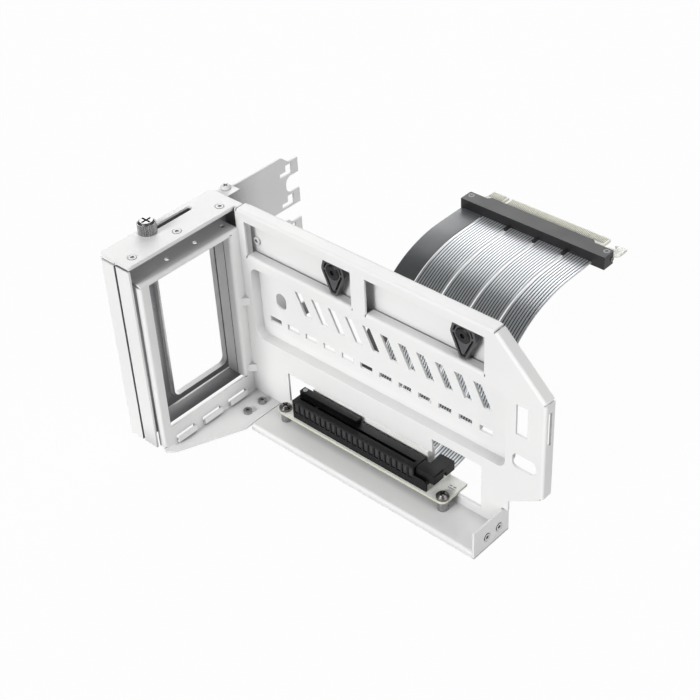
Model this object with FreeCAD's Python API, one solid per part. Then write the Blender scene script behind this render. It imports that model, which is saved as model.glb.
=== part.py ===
import FreeCAD, Part
import math
import os

Vector = FreeCAD.Vector

# Vertical graphics card mount: a folded carriage that slides on a case bracket,
# with a card slot on its floor and a flat cable riser that ends in an edge plug.
# Millimetres. X runs along the back plate, Y to the rear and Z up. The sizes are laid out
# from the inner corner where the front frame (X 0), back plate (Y 0) and floor (Z 0) meet.

# Sheet metal
SHEET = 1.2
BEND_INSIDE = 0.6
RELIEF = 0.7
CORNER_GAP = 0.2
SLOT_PITCH = 20.32

# Overall sizes of the carriage
TOP_Z = 124.8
FRAME_WIDTH = 71.3
SIDE_STEP = 3.0
CARRIAGE_DEPTH = 14.6
COVER_SETBACK = 2.9
COVER_REAR = 4.8
COVER_OVERHANG = 1.2
COVER_CORNER = 3.0
COVER_TAB_GAP = 0.6

# Case bracket
BRACKET_GAP = 0.4
BRACKET_DEPTH = 10.8
SLIDE_GAP = 0.6
BRACKET_TOP_STEP = 3.4
FLANGE_END = 17.6
TONGUE_COUNT = 6
TONGUE_REACH = 72.5
TONGUE_DROP = 14.9
TONGUE_HEIGHT = 9.4
TONGUE_DEPTH = 10.6
TONGUE_MARGIN = 1.0
HOOK_WIDTH = 5.3
KEYHOLE_WIDTH = 4.8
KEYHOLE_FOOT = 4.7
KEYHOLE_STEP = 2.8
KEYHOLE_WALL = 1.4
BAY_ROUND = 4.6
ROUND_LIMIT = 0.45
SHOULDER_DEPTH = 13.1
SHOULDER_RUN = 6.0
PAIR_CUT_DEPTH = 22.5
PAIR_CUT_HEIGHT = 8.5
CASE_OPENING_Y = (-42.0, -0.5)
CASE_OPENING_FOOT = 6.4
CASE_OPENING_HEAD = 15.0
CASE_OPENING_CORNER = 4.0
RIM_DEPTH = 3.8

# Screw angle on the bracket's outer face
ANGLE_SETBACK = 2.0
ANGLE_LEG = 16.0
ANGLE_FLANGE = 11.4
ANGLE_MARGIN = 5.4
CASE_SCREW_R = 2.1

# Clamp
THUMB_INSET = 5.5
SLOT_WIDTH = 4.0
SLOT_Y = (-47.0, -13.6)
FLANGE_SLOT_SIDE = 0.8
FLANGE_SLOT_START = 7.0
SHANK_CLEARANCE = 0.3
THREAD_CLEARANCE = 0.08
CLAMP_GAP = 0.1
THUMB_HEAD_R = 5.2
THUMB_HEAD_HEIGHT = 6.2
THUMB_DOME = 1.1
THUMB_FLUTES = 26
FLUTE_DEPTH = 0.5
CROSS_WIDTH = 1.2
CROSS_LENGTH = 6.2
CROSS_DEPTH = 1.4
NUT_R = 3.6
NUT_HEIGHT = 3.6

# Small fasteners, with plain hidden shanks
SHANK_SIDES = 8
HEX_SIDES = 6
STOP_SCREW_INSET = 6.9
STOP_SCREW_SETBACK = 4.1
STOP_HEAD_R = 3.0
STOP_HEAD_HEIGHT = 2.0
SMALL_SHANK_R = 1.2
CORNER_SCREW_INSET = 4.1
CORNER_SCREW_RISE = 4.4
CORNER_HEAD_R = 2.5
CORNER_HEAD_HEIGHT = 1.6
COVER_SCREW_DEPTH = 5.7
COVER_SCREW_INSET = 8.3
SUNK_HEAD_R = 2.7
SUNK_HEAD_DEPTH = 1.1
SUNK_CLEARANCE = 0.05
SEAT_CLEARANCE = 0.2
SUNK_SOCKET_R = 1.0
SUNK_SOCKET_DEPTH = 0.9
SCREW_TAIL = 4.0
# Shares of a pan head: its sloped part and the reach, width and depth of its recess
PAN_SLOPE = 0.5
PAN_RECESS_REACH = 0.55
PAN_RECESS_WIDTH = 0.25
PAN_RECESS_DEPTH = 0.5

# Front frame
WINDOW_SIDE = 6.3
WINDOW_REAR_Y = -6.7
SILL_Z = 13.0
LEDGE_DROP = 12.2
HEADER = 2.6
FRAME_EDGE = 4.2
JAMB_DEPTH = 5.6
JAMB_GAP = 0.6
STRIP_GAP = 3.2
CARD_HOLE_X = -8.0
CARD_HOLE_Y = -24.4
CARD_HOLE_R = 1.45
LANCE_COUNT = 3
LANCE_REAR_Y = -7.96
LANCE_LENGTH = 13.7
LANCE_FOOT_Z = 1.0
LANCE_TOP_Z = 5.2
LANCE_REACH = 2.4
LANCE_SHEET = 1.0
FOOT_LENGTH = 21.1
FOOT_WIDE_Y = -28.6
FOOT_TOE_X = 4.4
FOOT_TOE_INSET = 3.0
FOOT_ROUND = 3.0
FOOT_END_ROUND = 1.0
STUD_X = 12.2
STUD_Y = (-18.2, -6.4)
STUD_HEAD_R = 2.5
STUD_HEAD_HEIGHT = 1.9
STUD_SHANK_R = 1.5
STUD_SOCKET_R = 1.2
STUD_SOCKET_DEPTH = 1.2
GUSSET_Z = (64.7, 17.3)
GUSSET_LEG = 3.6
GUSSET_HEIGHT = 5.0

# Back plate: its length follows the connector board and the opening beside it
PLATE_BEYOND = 38.1
FLANGE_DEPTH = 7.4
CHAMFER_RUN = 31.2
CHAMFER_DROP = 30.0
RIGHT_END_Z = 33.7
HEEL_STEP = 2.75
HEEL_Z = 21.0
WINDOW_DROP = 6.4
WINDOW_HEIGHT = 22.05
WINDOW_START_X = 5.1
WINDOW_END = 37.4
WINDOW_BAR = 9.8
PANEL_START_X = 6.5
PANEL_END = 23.6
PANEL_LOW_Z = 41.8
PANEL_DROP = 6.75
PANEL_CORNER = 5.0
VENT_COUNT = 11
VENT_START = 33.5
VENT_PITCH = 12.4
VENT_WIDTH = 5.2
VENT_HEIGHT = 14.0
VENT_LEAN = 7.0
VENT_DROP = 14.6
DASH_COUNT = 12
DASH_START = 10.5
DASH_PITCH = 13.6
DASH_LENGTH = 8.6
DASH_HEIGHT = 3.6
DASH_RISE = 12.2
OVAL_START = 16.1
OVAL_DROP = 20.1
OVAL_WIDTH = 7.6
OVAL_HEIGHT = 10.5
TIE_SLOT_END = 10.3
TIE_SLOT_WIDTH = 7.1
TIE_SLOT_DROP = 7.5
TIE_SLOT_HEIGHT = 18.8
GRIP_HOLE_END = 4.4
GRIP_HOLE_WIDTH = 14.6
GRIP_HOLE_Z = (46.8, 55.9)
GRIP_HOLE_ROUND = 3.0
EDGE_SLOT_Y = (2.4, 5.2)
EDGE_SLOT_MARGIN = 1.1
CABLE_START_X = 29.5
CABLE_Z = (6.3, 26.2)
CABLE_BEYOND = 15.6
CABLE_STEP = 3.8
CABLE_STEP_Z = 35.2

# Rail and clips behind the windows
RAIL_START_X = 2.0
RAIL_BEYOND = 3.6
RAIL_BELOW = 12.35
RAIL_DROP = 0.6
RIVET_INSET = 4.8
RIVET_RISE = 7.05
RIVET_HEAD_R = 2.4
RIVET_HEAD_HEIGHT = 1.0
RIVET_SHANK_R = 1.4
RIVET_CUP_R = 1.1
RIVET_CUP_DEPTH = 0.7
CLIP_INSETS = (13.75, 14.4)
CLIP_FRONT_Y = 1.6
CLIP_DEPTH = 3.4
CLIP_DROP = 1.2
CLIP_HEIGHT = 19.8
CLIP_HALF_WIDTH = 8.2
CLIP_TOP_HALF = 6.6
CLIP_SHOULDER_DROP = 6.0
CLIP_TIP_HALF = 2.0
CLIP_TIP_ROUND = 1.4
CLIP_TOP_ROUND = 1.2
CLIP_BEND_ROUND = 4.0
CLIP_WALL = 1.3
CLIP_GROOVE = 1.5
CLIP_POCKET = 2.2
CLIP_RIB = 1.2
CLIP_STEM_INSET = 2.4
KNOB_DROP = 5.5
KNOB_R = 4.3
KNOB_HEIGHT = 1.8
KNOB_SLOPE = 0.6
KNOB_SEAT_DEPTH = 1.2
KNOB_SEAT_CLEARANCE = 0.3
KNOB_BOSS_WALL = 0.8
KNOB_SOCKET_R = 1.6
KNOB_SOCKET_DEPTH = 1.1

# Floor under the card slot
FLOOR_FRONT_Y = -24.3
FLOOR_REAR_Y = 4.6
FLOOR_SHORT = 23.55
FLOOR_LIP = 3.9
FLOOR_GAP = 0.4
TONGUE_START_X = 3.0
TONGUE_LAP = 2.0
TONGUE_INSET = (2.3, 3.6)
END_TAB_HEIGHT = 9.0
END_TAB_FRONT = 2.3
END_TAB_REAR_Y = -0.3
END_PLATE_TOP_Z = 13.8
END_PLATE_CORNER = 3.0
END_SCREW_Y = (-13.3, -3.4)
END_SCREW_Z = 3.6
END_SCREW_R = 2.9

# Connector board
BOARD_BEYOND = 21.3
BOARD_Y = (-12.3, 8.0)
BOARD_Z = 6.4
BOARD_SHEET = 1.6
BOARD_EAR_R = 3.9
BOARD_EAR_REACH = 9.0
BOARD_EAR_X = 30.2
BOARD_SCREW_END = 3.5
BOARD_HEAD_R = 3.7
BOARD_HEAD_HEIGHT = 3.0
STANDOFF_R = 3.0

# Card slot
SLOT_START_X = 42.8
SLOT_LENGTH = 89.0
SLOT_BODY_Y = (-11.0, -0.3)
SLOT_BODY_HEIGHT = 12.3
SLOT_MOUTH_Y = -6.4
SLOT_MOUTH_WIDTH = 1.9
SLOT_MOUTH_DEPTH = 8.6
SLOT_END_WALL = 2.4
SLOT_KEY = 14.2
SLOT_KEY_WIDTH = 1.8
SLOT_REAR_RISE = 3.0
SLOT_REAR_LENGTH = 42.7
RIB_COUNT = 22
RIB_WIDTH = 1.1
RIB_DEPTH = 0.9
BAY_FOOT = 4.4
BAY_HEAD = 1.5
CONTACT_SHEET = 0.3
CONTACT_HEIGHT = 5.0
CHEEK_LENGTH = 8.6
CHEEK_SHEET = 1.2
CHEEK_HEIGHT = 7.2
CHEEK_ROUND = 3.0
LATCH_CLEARANCE = 0.4
PIVOT_FORWARD = 4.6
PIVOT_HEIGHT = 5.0
PIVOT_R = 1.3
PIVOT_CLEARANCE = 0.1
LATCH_TOP = 12.2
LATCH_REACH = 13.2
LATCH_BLOCK_FOOT = 6.2
LATCH_BRIDGE_FOOT = 9.4
LATCH_BLOCK_START = 4.2
LATCH_BLOCK_GAP = 0.7
LATCH_BLOCK_REAR = 7.2
LATCH_ROUND = 0.8
LATCH_FOOT = 2.6

# Flat cables
CABLE_SHEET = 0.9
CLAMP_Y = 2.0
CLAMP_RISE = 2.6
CLAMP_COVER_RISE = 14.0
CLAMP_COVER_SETBACK = 1.0
CLAMP_SIDE = 1.0
PLAIN_CABLE_X = (47.9, 62.9)
RIBBED_CABLES_X = ((63.7, 83.2), (84.1, 103.3), (104.2, 123.4), (124.3, 140.6))
CABLE_ROUTE = (
    (8.0, 8.5),
    (16.8, 8.5),
    (26.6, 11.8),
    (34.8, 18.0),
    (44.9, 33.2),
    (62.3, 57.6),
    (80.2, 70.7),
    (101.0, 77.0),
    (118.5, 77.5),
    (134.0, 77.5),
)
ARC_SHARE = 0.45

# Edge plug
PLUG_X = (47.5, 148.9)
PLUG_DEPTH = 9.3
PLUG_SWELL_X = (62.0, 134.0)
PLUG_SWELL = 2.0
PLUG_BELOW = 1.6
PLUG_ABOVE = 6.6
PLUG_SPLIT = 2.0
PLUG_CORNER = 1.0
PLUG_TAB_WIDTH = 1.4
PLUG_TAB_LENGTH = 5.0
PLUG_TAB_GAP = 0.1
PLUG_BOARD_REACH = 12.4
PLUG_BOARD_SHEET = 1.6
FINGER_X = 55.1
FINGER_SHORT = 11.65
FINGER_NOTCH = 1.9
FINGER_LONG = 70.15
FINGER_NOTCH_DEPTH = 8.0
PAD_SIDE = 0.8
PAD_LENGTH = 5.6
PAD_SHEET = 0.1
PAD_SETBACK = 0.8
HOOK_GAP = 5.4
HOOK_WIDE = 7.2
HOOK_ROOT = 8.0
HOOK_THROAT = 3.2
HOOK_LIP = 2.0
BLADE_ROUND = 1.0
BLADE_LAP = 3.0
PLUG_SCREW_INSET = 3.0
PLUG_SCREW_HEAD_R = 2.0
PLUG_SCREW_HEAD_HEIGHT = 0.8
PLUG_RECESS_LENGTH = 2.4
PLUG_RECESS_WIDTH = 0.5
PLUG_RECESS_DEPTH = 0.5

# Places worked out from the driving dimensions
FOLD = SHEET + BEND_INSIDE
SIDE_REACH = FRAME_WIDTH + SIDE_STEP
BRACKET_FRONT_X = -(CARRIAGE_DEPTH + BRACKET_GAP)
BRACKET_X = BRACKET_FRONT_X - BRACKET_DEPTH
COVER_UNDER_Z = TOP_Z - SHEET
BRACKET_TOP_Z = COVER_UNDER_Z - SLIDE_GAP
TONGUE_TOP_Z = TOP_Z - TONGUE_DROP
TONGUE_ROW = SLOT_PITCH * (TONGUE_COUNT - 1)
BRACKET_BOTTOM = TONGUE_TOP_Z - TONGUE_ROW - TONGUE_HEIGHT / 2 - TONGUE_MARGIN
CASE_OPENING_Z = (BRACKET_BOTTOM + CASE_OPENING_FOOT, BRACKET_TOP_Z - CASE_OPENING_HEAD)
WALL_X = -CARRIAGE_DEPTH
WALL_FRONT_X = WALL_X + SHEET
WINDOW_Y = (WINDOW_SIDE - FRAME_WIDTH, WINDOW_REAR_Y)
LEDGE_Z = TOP_Z - LEDGE_DROP
SHANK_R = SLOT_WIDTH / 2 - SHANK_CLEARANCE
THUMB_X = BRACKET_FRONT_X - THUMB_INSET
THUMB_Y = SLOT_Y[0] + SLOT_WIDTH / 2
STOP_SCREW_PLACE = (BRACKET_FRONT_X - STOP_SCREW_INSET, FLANGE_END - STOP_SCREW_SETBACK)
CORNER_SCREW_PLACE = (CORNER_SCREW_INSET - SIDE_REACH, BRACKET_BOTTOM + CORNER_SCREW_RISE)
SMALL_HOLE_R = SMALL_SHANK_R + SUNK_CLEARANCE
STUD_HOLE_R = STUD_SHANK_R + SUNK_CLEARANCE
SLOT_BODY_X = (SLOT_START_X, SLOT_START_X + SLOT_LENGTH)
BOARD_X = (BOARD_EAR_X, SLOT_BODY_X[1] + BOARD_BEYOND)
BOARD_SCREW_X = (BOARD_X[0] + BOARD_EAR_R, BOARD_X[1] - BOARD_SCREW_END)
BOARD_SCREW_Y = BOARD_Y[0] + BOARD_EAR_R
BOARD_TOP_Z = BOARD_Z + BOARD_SHEET
CABLE_X = (CABLE_START_X, BOARD_X[1] + CABLE_BEYOND)
CABLE_STEP_X = SLOT_BODY_X[1] + CABLE_STEP
PLATE_LENGTH = CABLE_X[1] + PLATE_BEYOND
CHAMFER_START_X = PLATE_LENGTH - CHAMFER_RUN
CHAMFER_END_Z = TOP_Z - CHAMFER_DROP
WINDOW_END_X = PLATE_LENGTH - WINDOW_END
WINDOW_WIDTH = (WINDOW_END_X - WINDOW_START_X - WINDOW_BAR) / 2
WINDOW_SPANS = (
    (WINDOW_START_X, WINDOW_START_X + WINDOW_WIDTH),
    (WINDOW_END_X - WINDOW_WIDTH, WINDOW_END_X),
)
WINDOW_HIGH_Z = TOP_Z - WINDOW_DROP
WINDOW_LOW_Z = WINDOW_HIGH_Z - WINDOW_HEIGHT
PANEL_X = (PANEL_START_X, PLATE_LENGTH - PANEL_END)
PANEL_Z = (PANEL_LOW_Z, WINDOW_LOW_Z - PANEL_DROP)
PANEL_FLOOR_Y = FLANGE_DEPTH - SHEET
TIE_SLOT_X = (PLATE_LENGTH - TIE_SLOT_END - TIE_SLOT_WIDTH, PLATE_LENGTH - TIE_SLOT_END)
TIE_SLOT_HIGH_Z = CHAMFER_END_Z - TIE_SLOT_DROP
TIE_SLOT_Z = (TIE_SLOT_HIGH_Z - TIE_SLOT_HEIGHT, TIE_SLOT_HIGH_Z)
EDGE_SLOT_Z = (TIE_SLOT_Z[0] - EDGE_SLOT_MARGIN, TIE_SLOT_Z[1] + EDGE_SLOT_MARGIN)
GRIP_HOLE_X = (PLATE_LENGTH - GRIP_HOLE_END - GRIP_HOLE_WIDTH, PLATE_LENGTH - GRIP_HOLE_END)
RAIL_X = (RAIL_START_X, WINDOW_END_X + RAIL_BEYOND)
RAIL_Z = (WINDOW_LOW_Z - RAIL_BELOW, TOP_Z - RAIL_DROP)
RIVET_X = (RAIL_X[0] + RIVET_INSET, RAIL_X[1] - RIVET_INSET)
RIVET_Z = WINDOW_LOW_Z + RIVET_RISE
CLIP_X = [span[1] - inset for span, inset in zip(WINDOW_SPANS, CLIP_INSETS)]
CLIP_TOP_Z = WINDOW_HIGH_Z - CLIP_DROP
CLIP_TIP_Z = CLIP_TOP_Z - CLIP_HEIGHT
FLOOR_END_X = PLATE_LENGTH - FLOOR_SHORT
END_PLATE_X = FLOOR_END_X - SHEET
HEEL_X = FLOOR_END_X + HEEL_STEP
PIVOT_X = SLOT_BODY_X[1] + PIVOT_FORWARD
PIVOT_Z = BOARD_TOP_Z + PIVOT_HEIGHT
SLOT_KEY_X = SLOT_BODY_X[0] + SLOT_KEY
SLOT_REAR_END_X = SLOT_BODY_X[0] + SLOT_REAR_LENGTH
CABLE_END_Y = CABLE_ROUTE[-1][0]
CABLE_END_Z = CABLE_ROUTE[-1][1]
PLUG_LOW_Z = CABLE_END_Z - PLUG_BELOW
PLUG_SPLIT_Z = CABLE_END_Z + PLUG_SPLIT
PLUG_TOP_Z = CABLE_END_Z + PLUG_ABOVE
PLUG_REAR_Y = CABLE_END_Y + PLUG_DEPTH
PLUG_BOARD_END_Y = PLUG_REAR_Y + PLUG_BOARD_REACH
CASE_SCREW_Z = TONGUE_TOP_Z - TONGUE_ROW / 2
ANGLE_CORNER_Y = CASE_OPENING_Y[0] - ANGLE_SETBACK
ORIGIN = Vector(BRACKET_X - (SHEET + ANGLE_FLANGE) / 2, ANGLE_CORNER_Y, CASE_SCREW_Z)

AXIS = {"x": Vector(1, 0, 0), "y": Vector(0, 1, 0), "z": Vector(0, 0, 1)}


def block(x, y, z):
    """Box between the two ends given for each axis."""
    low = Vector(min(x), min(y), min(z))
    return Part.makeBox(abs(x[1] - x[0]), abs(y[1] - y[0]), abs(z[1] - z[0]), low)


def rod(radius, start, axis, length):
    """Cylinder from a start point along an axis letter."""
    return Part.makeCylinder(radius, length, Vector(*start), AXIS[axis])


def prism(sides, radius, center, axis, start, end):
    """Rod with flat sides about a centre (u, v), between two levels along an axis letter."""
    turns = [2 * math.pi * side / sides for side in range(sides)]
    u, v = center
    corners = [(u + radius * math.cos(turn), v + radius * math.sin(turn), 0) for turn in turns]
    return panel(corners, axis, start, end)


def hidden_hole(center, axis, start, end, radius=SMALL_HOLE_R):
    """Cutter for a hole that a hidden shank fills, past both of its levels."""
    return prism(SHANK_SIDES, radius, center, axis, min(start, end) - 1, max(start, end) + 1)


def lift(axis, level, u, v):
    """Point of a plane at the given level, with u and v along the other two axes in order."""
    if axis == "x":
        return Vector(level, u, v)
    if axis == "y":
        return Vector(u, level, v)
    return Vector(u, v, level)


def rounded_wire(corners, axis, level):
    """Closed wire through corners (u, v, radius), each rounded by a tangent arc."""
    entries = []
    for index, (u, v, radius) in enumerate(corners):
        before = corners[index - 1]
        after = corners[(index + 1) % len(corners)]
        here = Vector(u, v, 0)
        back = (Vector(before[0], before[1], 0) - here).normalize()
        ahead = (Vector(after[0], after[1], 0) - here).normalize()
        if radius == 0:
            entries.append((here, None, here))
            continue
        half = back.getAngle(ahead) / 2
        reach = radius / math.tan(half)
        inward = (back + ahead).normalize()
        middle = here + inward * (radius / math.sin(half) - radius)
        entries.append((here + back * reach, middle, here + ahead * reach))
    edges = []
    for index, (entry, middle, leave) in enumerate(entries):
        points = [lift(axis, level, p.x, p.y) for p in (entry, middle, leave) if p is not None]
        if middle is not None:
            edges.append(Part.Arc(*points).toShape())
        following = entries[(index + 1) % len(entries)][0]
        if following.distanceToPoint(leave) > 1e-6:
            goal = lift(axis, level, following.x, following.y)
            edges.append(Part.LineSegment(points[-1], goal).toShape())
    return Part.Wire(edges)


def panel(corners, axis, start, end):
    """Flat piece with the outline of the corners, between two levels along an axis."""
    face = Part.Face(rounded_wire(corners, axis, start))
    return face.extrude(AXIS[axis] * (end - start))


def rectangle(u, v, radius=0):
    """Corners of a rectangle with one corner radius."""
    ends = ((u[0], v[0]), (u[1], v[0]), (u[1], v[1]), (u[0], v[1]))
    return [(a, b, radius) for a, b in ends]


def stadium(center, width, height, axis, start, end):
    """Slot cutter with round ends, width along u and height along v."""
    round_end = min(width, height) / 2 - 1e-3
    u = (center[0] - width / 2, center[0] + width / 2)
    v = (center[1] - height / 2, center[1] + height / 2)
    return panel(rectangle(u, v, round_end), axis, start, end)


def fold(start, end, inward, turned, depth):
    """Bent edge strip along a corner line, with a flange of the given depth.

    The corner line is where the outer faces would meet if the bend were sharp. Inward points
    along the sheet, away from the edge, and turned points along the flange.
    """
    start = Vector(*start)
    run = Vector(*end) - start
    inward = Vector(*inward).normalize()
    turned = Vector(*turned).normalize()

    def spot(along, out):
        return start + inward * along + turned * out

    outer = FOLD * (1 - math.sqrt(0.5))
    inner = SHEET + BEND_INSIDE * (1 - math.sqrt(0.5))
    edges = [
        Part.Arc(spot(FOLD, 0), spot(outer, outer), spot(0, FOLD)).toShape(),
        Part.Arc(spot(SHEET, FOLD), spot(inner, inner), spot(FOLD, SHEET)).toShape(),
        Part.LineSegment(spot(FOLD, SHEET), spot(FOLD, 0)).toShape(),
    ]
    if depth > FOLD:
        edges.append(Part.LineSegment(spot(0, FOLD), spot(0, depth)).toShape())
        edges.append(Part.LineSegment(spot(0, depth), spot(SHEET, depth)).toShape())
        edges.append(Part.LineSegment(spot(SHEET, depth), spot(SHEET, FOLD)).toShape())
    else:
        edges.append(Part.LineSegment(spot(0, FOLD), spot(SHEET, FOLD)).toShape())
    return Part.Face(Part.Wire(Part.__sortEdges__(edges))).extrude(run)


def fold_clearance(start, end, inward, turned):
    """Cutter that takes the sharp sheet edge away where a bend goes, with a relief at its ends."""
    along = (Vector(*end) - Vector(*start)).normalize()
    start = Vector(*start) - along * RELIEF
    end = Vector(*end) + along * RELIEF
    inward = Vector(*inward).normalize()
    turned = Vector(*turned).normalize()
    corners = [
        start,
        start + inward * FOLD,
        start + inward * FOLD + turned * SHEET,
        start + turned * SHEET,
    ]
    wire = Part.makePolygon(corners + corners[:1])
    return Part.Face(wire).extrude(end - start)


def joined(shapes):
    """One solid from touching pieces, with the seams taken out."""
    whole = shapes[0]
    for shape in shapes[1:]:
        whole = whole.fuse(shape)
    return whole.removeSplitter()


def bent_sheet(flat, folds):
    """Flat sheet with each fold (start, end, inward, turned, depth) set along its edge."""
    sheet = flat.cut([fold_clearance(*item[:4]) for item in folds])
    return joined([sheet] + [fold(*item) for item in folds])


def countersunk_screw(center, axis, face, head_r):
    """Flat head screw about a centre (u, v), with its face at a level and its tail below it."""
    start = lift(axis, face, *center)
    head = Part.makeCone(head_r, SMALL_SHANK_R, SUNK_HEAD_DEPTH, start, AXIS[axis] * -1)
    shank = prism(SHANK_SIDES, SMALL_SHANK_R, center, axis, face - SCREW_TAIL, face)
    socket = prism(HEX_SIDES, SUNK_SOCKET_R, center, axis, face - SUNK_SOCKET_DEPTH, face)
    return joined([head, shank]).cut(socket)


def countersink(center, axis, face, head_r):
    """Cutter for the seat of a countersunk screw in one sheet, with the hole for its shank."""
    start = lift(axis, face, *center)
    seat = Part.makeCone(head_r + SEAT_CLEARANCE, SMALL_HOLE_R, SUNK_HEAD_DEPTH, start, AXIS[axis] * -1)
    hole = prism(SHANK_SIDES, SMALL_HOLE_R, center, axis, face - SHEET - 1, face)
    return joined([seat, hole])


def cross_recess(center, radius_top, width, depth):
    """Cross shaped cutter, open upwards at the centre point."""
    x, y, z = center
    half = width / 2
    along = block((x - radius_top, x + radius_top), (y - half, y + half), (z - depth, z))
    across = block((x - half, x + half), (y - radius_top, y + radius_top), (z - depth, z))
    return along.fuse(across)


def tongue_z(index):
    """Height of a tongue's middle, counted from the top."""
    return TONGUE_TOP_Z - SLOT_PITCH * index


def tongue_cutters():
    """Cutters that shape the six slot tongues out of the bracket's rear edge."""
    beyond = TONGUE_REACH + 1
    half = TONGUE_HEIGHT / 2
    levels = (BRACKET_X - 1, BRACKET_X + SHEET + 1)
    root = TONGUE_REACH - TONGUE_DEPTH
    shoulder_y = TONGUE_REACH - SHOULDER_DEPTH
    shoulder_z = BRACKET_TOP_Z - BRACKET_TOP_STEP
    first = tongue_z(0) + half
    shoulder = [
        (shoulder_y, shoulder_z, 0),
        (shoulder_y + SHOULDER_RUN, first, 0),
        (beyond, first, 0),
        (beyond, BRACKET_TOP_Z + 1, 0),
        (shoulder_y, BRACKET_TOP_Z + 1, 0),
    ]
    cutters = [panel(shoulder, "x", *levels)]
    cutters.append(block(levels, (FLANGE_END, beyond), (shoulder_z, BRACKET_TOP_Z + 1)))
    for index in range(TONGUE_COUNT - 1):
        upper = tongue_z(index) - half
        lower = tongue_z(index + 1) + half
        bay_round = min(BAY_ROUND, (upper - lower) * ROUND_LIMIT)
        bay = [
            (root, lower, bay_round),
            (beyond, lower, 0),
            (beyond, upper, 0),
            (root, upper, bay_round),
        ]
        cutters.append(panel(bay, "x", *levels))
        if index % 2:
            deep = (upper - PAIR_CUT_HEIGHT, upper)
            cutters.append(block(levels, (TONGUE_REACH - PAIR_CUT_DEPTH, beyond), deep))
    for index in range(TONGUE_COUNT):
        middle = tongue_z(index)
        right = TONGUE_REACH - HOOK_WIDTH
        left = right - KEYHOLE_WIDTH
        low = middle - half + KEYHOLE_WALL
        high = middle + half - KEYHOLE_WALL
        step = low + KEYHOLE_STEP
        keyhole = [
            (left - KEYHOLE_FOOT, low, 0),
            (right, low, 0),
            (right, high, 0),
            (left, high, 0),
            (left, step, 0),
            (left - KEYHOLE_FOOT, step, 0),
        ]
        cutters.append(panel(keyhole, "x", *levels))
    return cutters


def case_bracket():
    """Folded bracket that hooks into the case, with the opening in front of the slot row."""
    inner_x = BRACKET_X + SHEET
    flat = block((BRACKET_X, inner_x), (-SIDE_REACH, TONGUE_REACH), (BRACKET_BOTTOM, BRACKET_TOP_Z))
    opening = rectangle(CASE_OPENING_Y, CASE_OPENING_Z, CASE_OPENING_CORNER)
    levels = (BRACKET_X - 1, inner_x + 1)
    corner = hidden_hole(CORNER_SCREW_PLACE, "x", BRACKET_X, inner_x)
    flat = flat.cut([panel(opening, "x", *levels), corner] + tongue_cutters())
    top = (
        (BRACKET_X, -SIDE_REACH + RELIEF, BRACKET_TOP_Z),
        (BRACKET_X, FLANGE_END, BRACKET_TOP_Z),
        (0, 0, -1),
        (1, 0, 0),
        BRACKET_DEPTH,
    )
    side = (
        (BRACKET_X, -SIDE_REACH, BRACKET_BOTTOM),
        (BRACKET_X, -SIDE_REACH, BRACKET_TOP_Z - FOLD - CORNER_GAP),
        (0, 1, 0),
        (1, 0, 0),
        BRACKET_DEPTH,
    )
    bracket = bent_sheet(flat, [top, side])
    rim_y = (CASE_OPENING_Y[0] - SHEET, CASE_OPENING_Y[1] + SHEET)
    rim_z = (CASE_OPENING_Z[0] - SHEET, CASE_OPENING_Z[1] + SHEET)
    rim_levels = (BRACKET_X, BRACKET_X + RIM_DEPTH)
    rim = panel(rectangle(rim_y, rim_z, CASE_OPENING_CORNER + SHEET), "x", *rim_levels)
    rim = rim.cut(panel(opening, "x", BRACKET_X - 1, BRACKET_X + RIM_DEPTH + 1))
    bracket = joined([bracket, rim])
    flange = (BRACKET_TOP_Z - SHEET, BRACKET_TOP_Z)
    stop = hidden_hole(STOP_SCREW_PLACE, "z", *flange)
    clamp = hidden_hole((THUMB_X, THUMB_Y), "z", *flange, SHANK_R + SHANK_CLEARANCE)
    half = SLOT_WIDTH / 2 + FLANGE_SLOT_SIDE
    run_y = (THUMB_Y + FLANGE_SLOT_START, SLOT_Y[1] + FLANGE_SLOT_SIDE)
    run = block((THUMB_X - half, THUMB_X + half), run_y, (flange[0] - 1, flange[1] + 1))
    return bracket.cut([stop, clamp, run])


def screw_angle():
    """Angle welded to the bracket's outer face, whose flange is screwed to the case."""
    low = CASE_SCREW_Z - TONGUE_ROW / 2 - ANGLE_MARGIN
    high = CASE_SCREW_Z + TONGUE_ROW / 2 + ANGLE_MARGIN
    leg = block((BRACKET_X - SHEET, BRACKET_X), (ANGLE_CORNER_Y - ANGLE_LEG, ANGLE_CORNER_Y), (low, high))
    corner = (
        (BRACKET_X, ANGLE_CORNER_Y, low),
        (BRACKET_X, ANGLE_CORNER_Y, high),
        (0, -1, 0),
        (-1, 0, 0),
        SHEET + ANGLE_FLANGE,
    )
    angle = bent_sheet(leg, [corner])
    start = (ORIGIN.x, ANGLE_CORNER_Y - SHEET - 1)
    holes = [rod(CASE_SCREW_R, (*start, tongue_z(index)), "y", SHEET + 2) for index in range(TONGUE_COUNT)]
    return angle.cut(holes)


def case_nut():
    """Hexagon weld nut under the bracket's top flange."""
    top = BRACKET_TOP_Z - SHEET
    nut = prism(HEX_SIDES, NUT_R, (THUMB_X, THUMB_Y), "z", top - NUT_HEIGHT, top)
    bore_r = SHANK_R + THREAD_CLEARANCE
    return nut.cut(rod(bore_r, (THUMB_X, THUMB_Y, top - NUT_HEIGHT - 1), "z", NUT_HEIGHT + 2))


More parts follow.
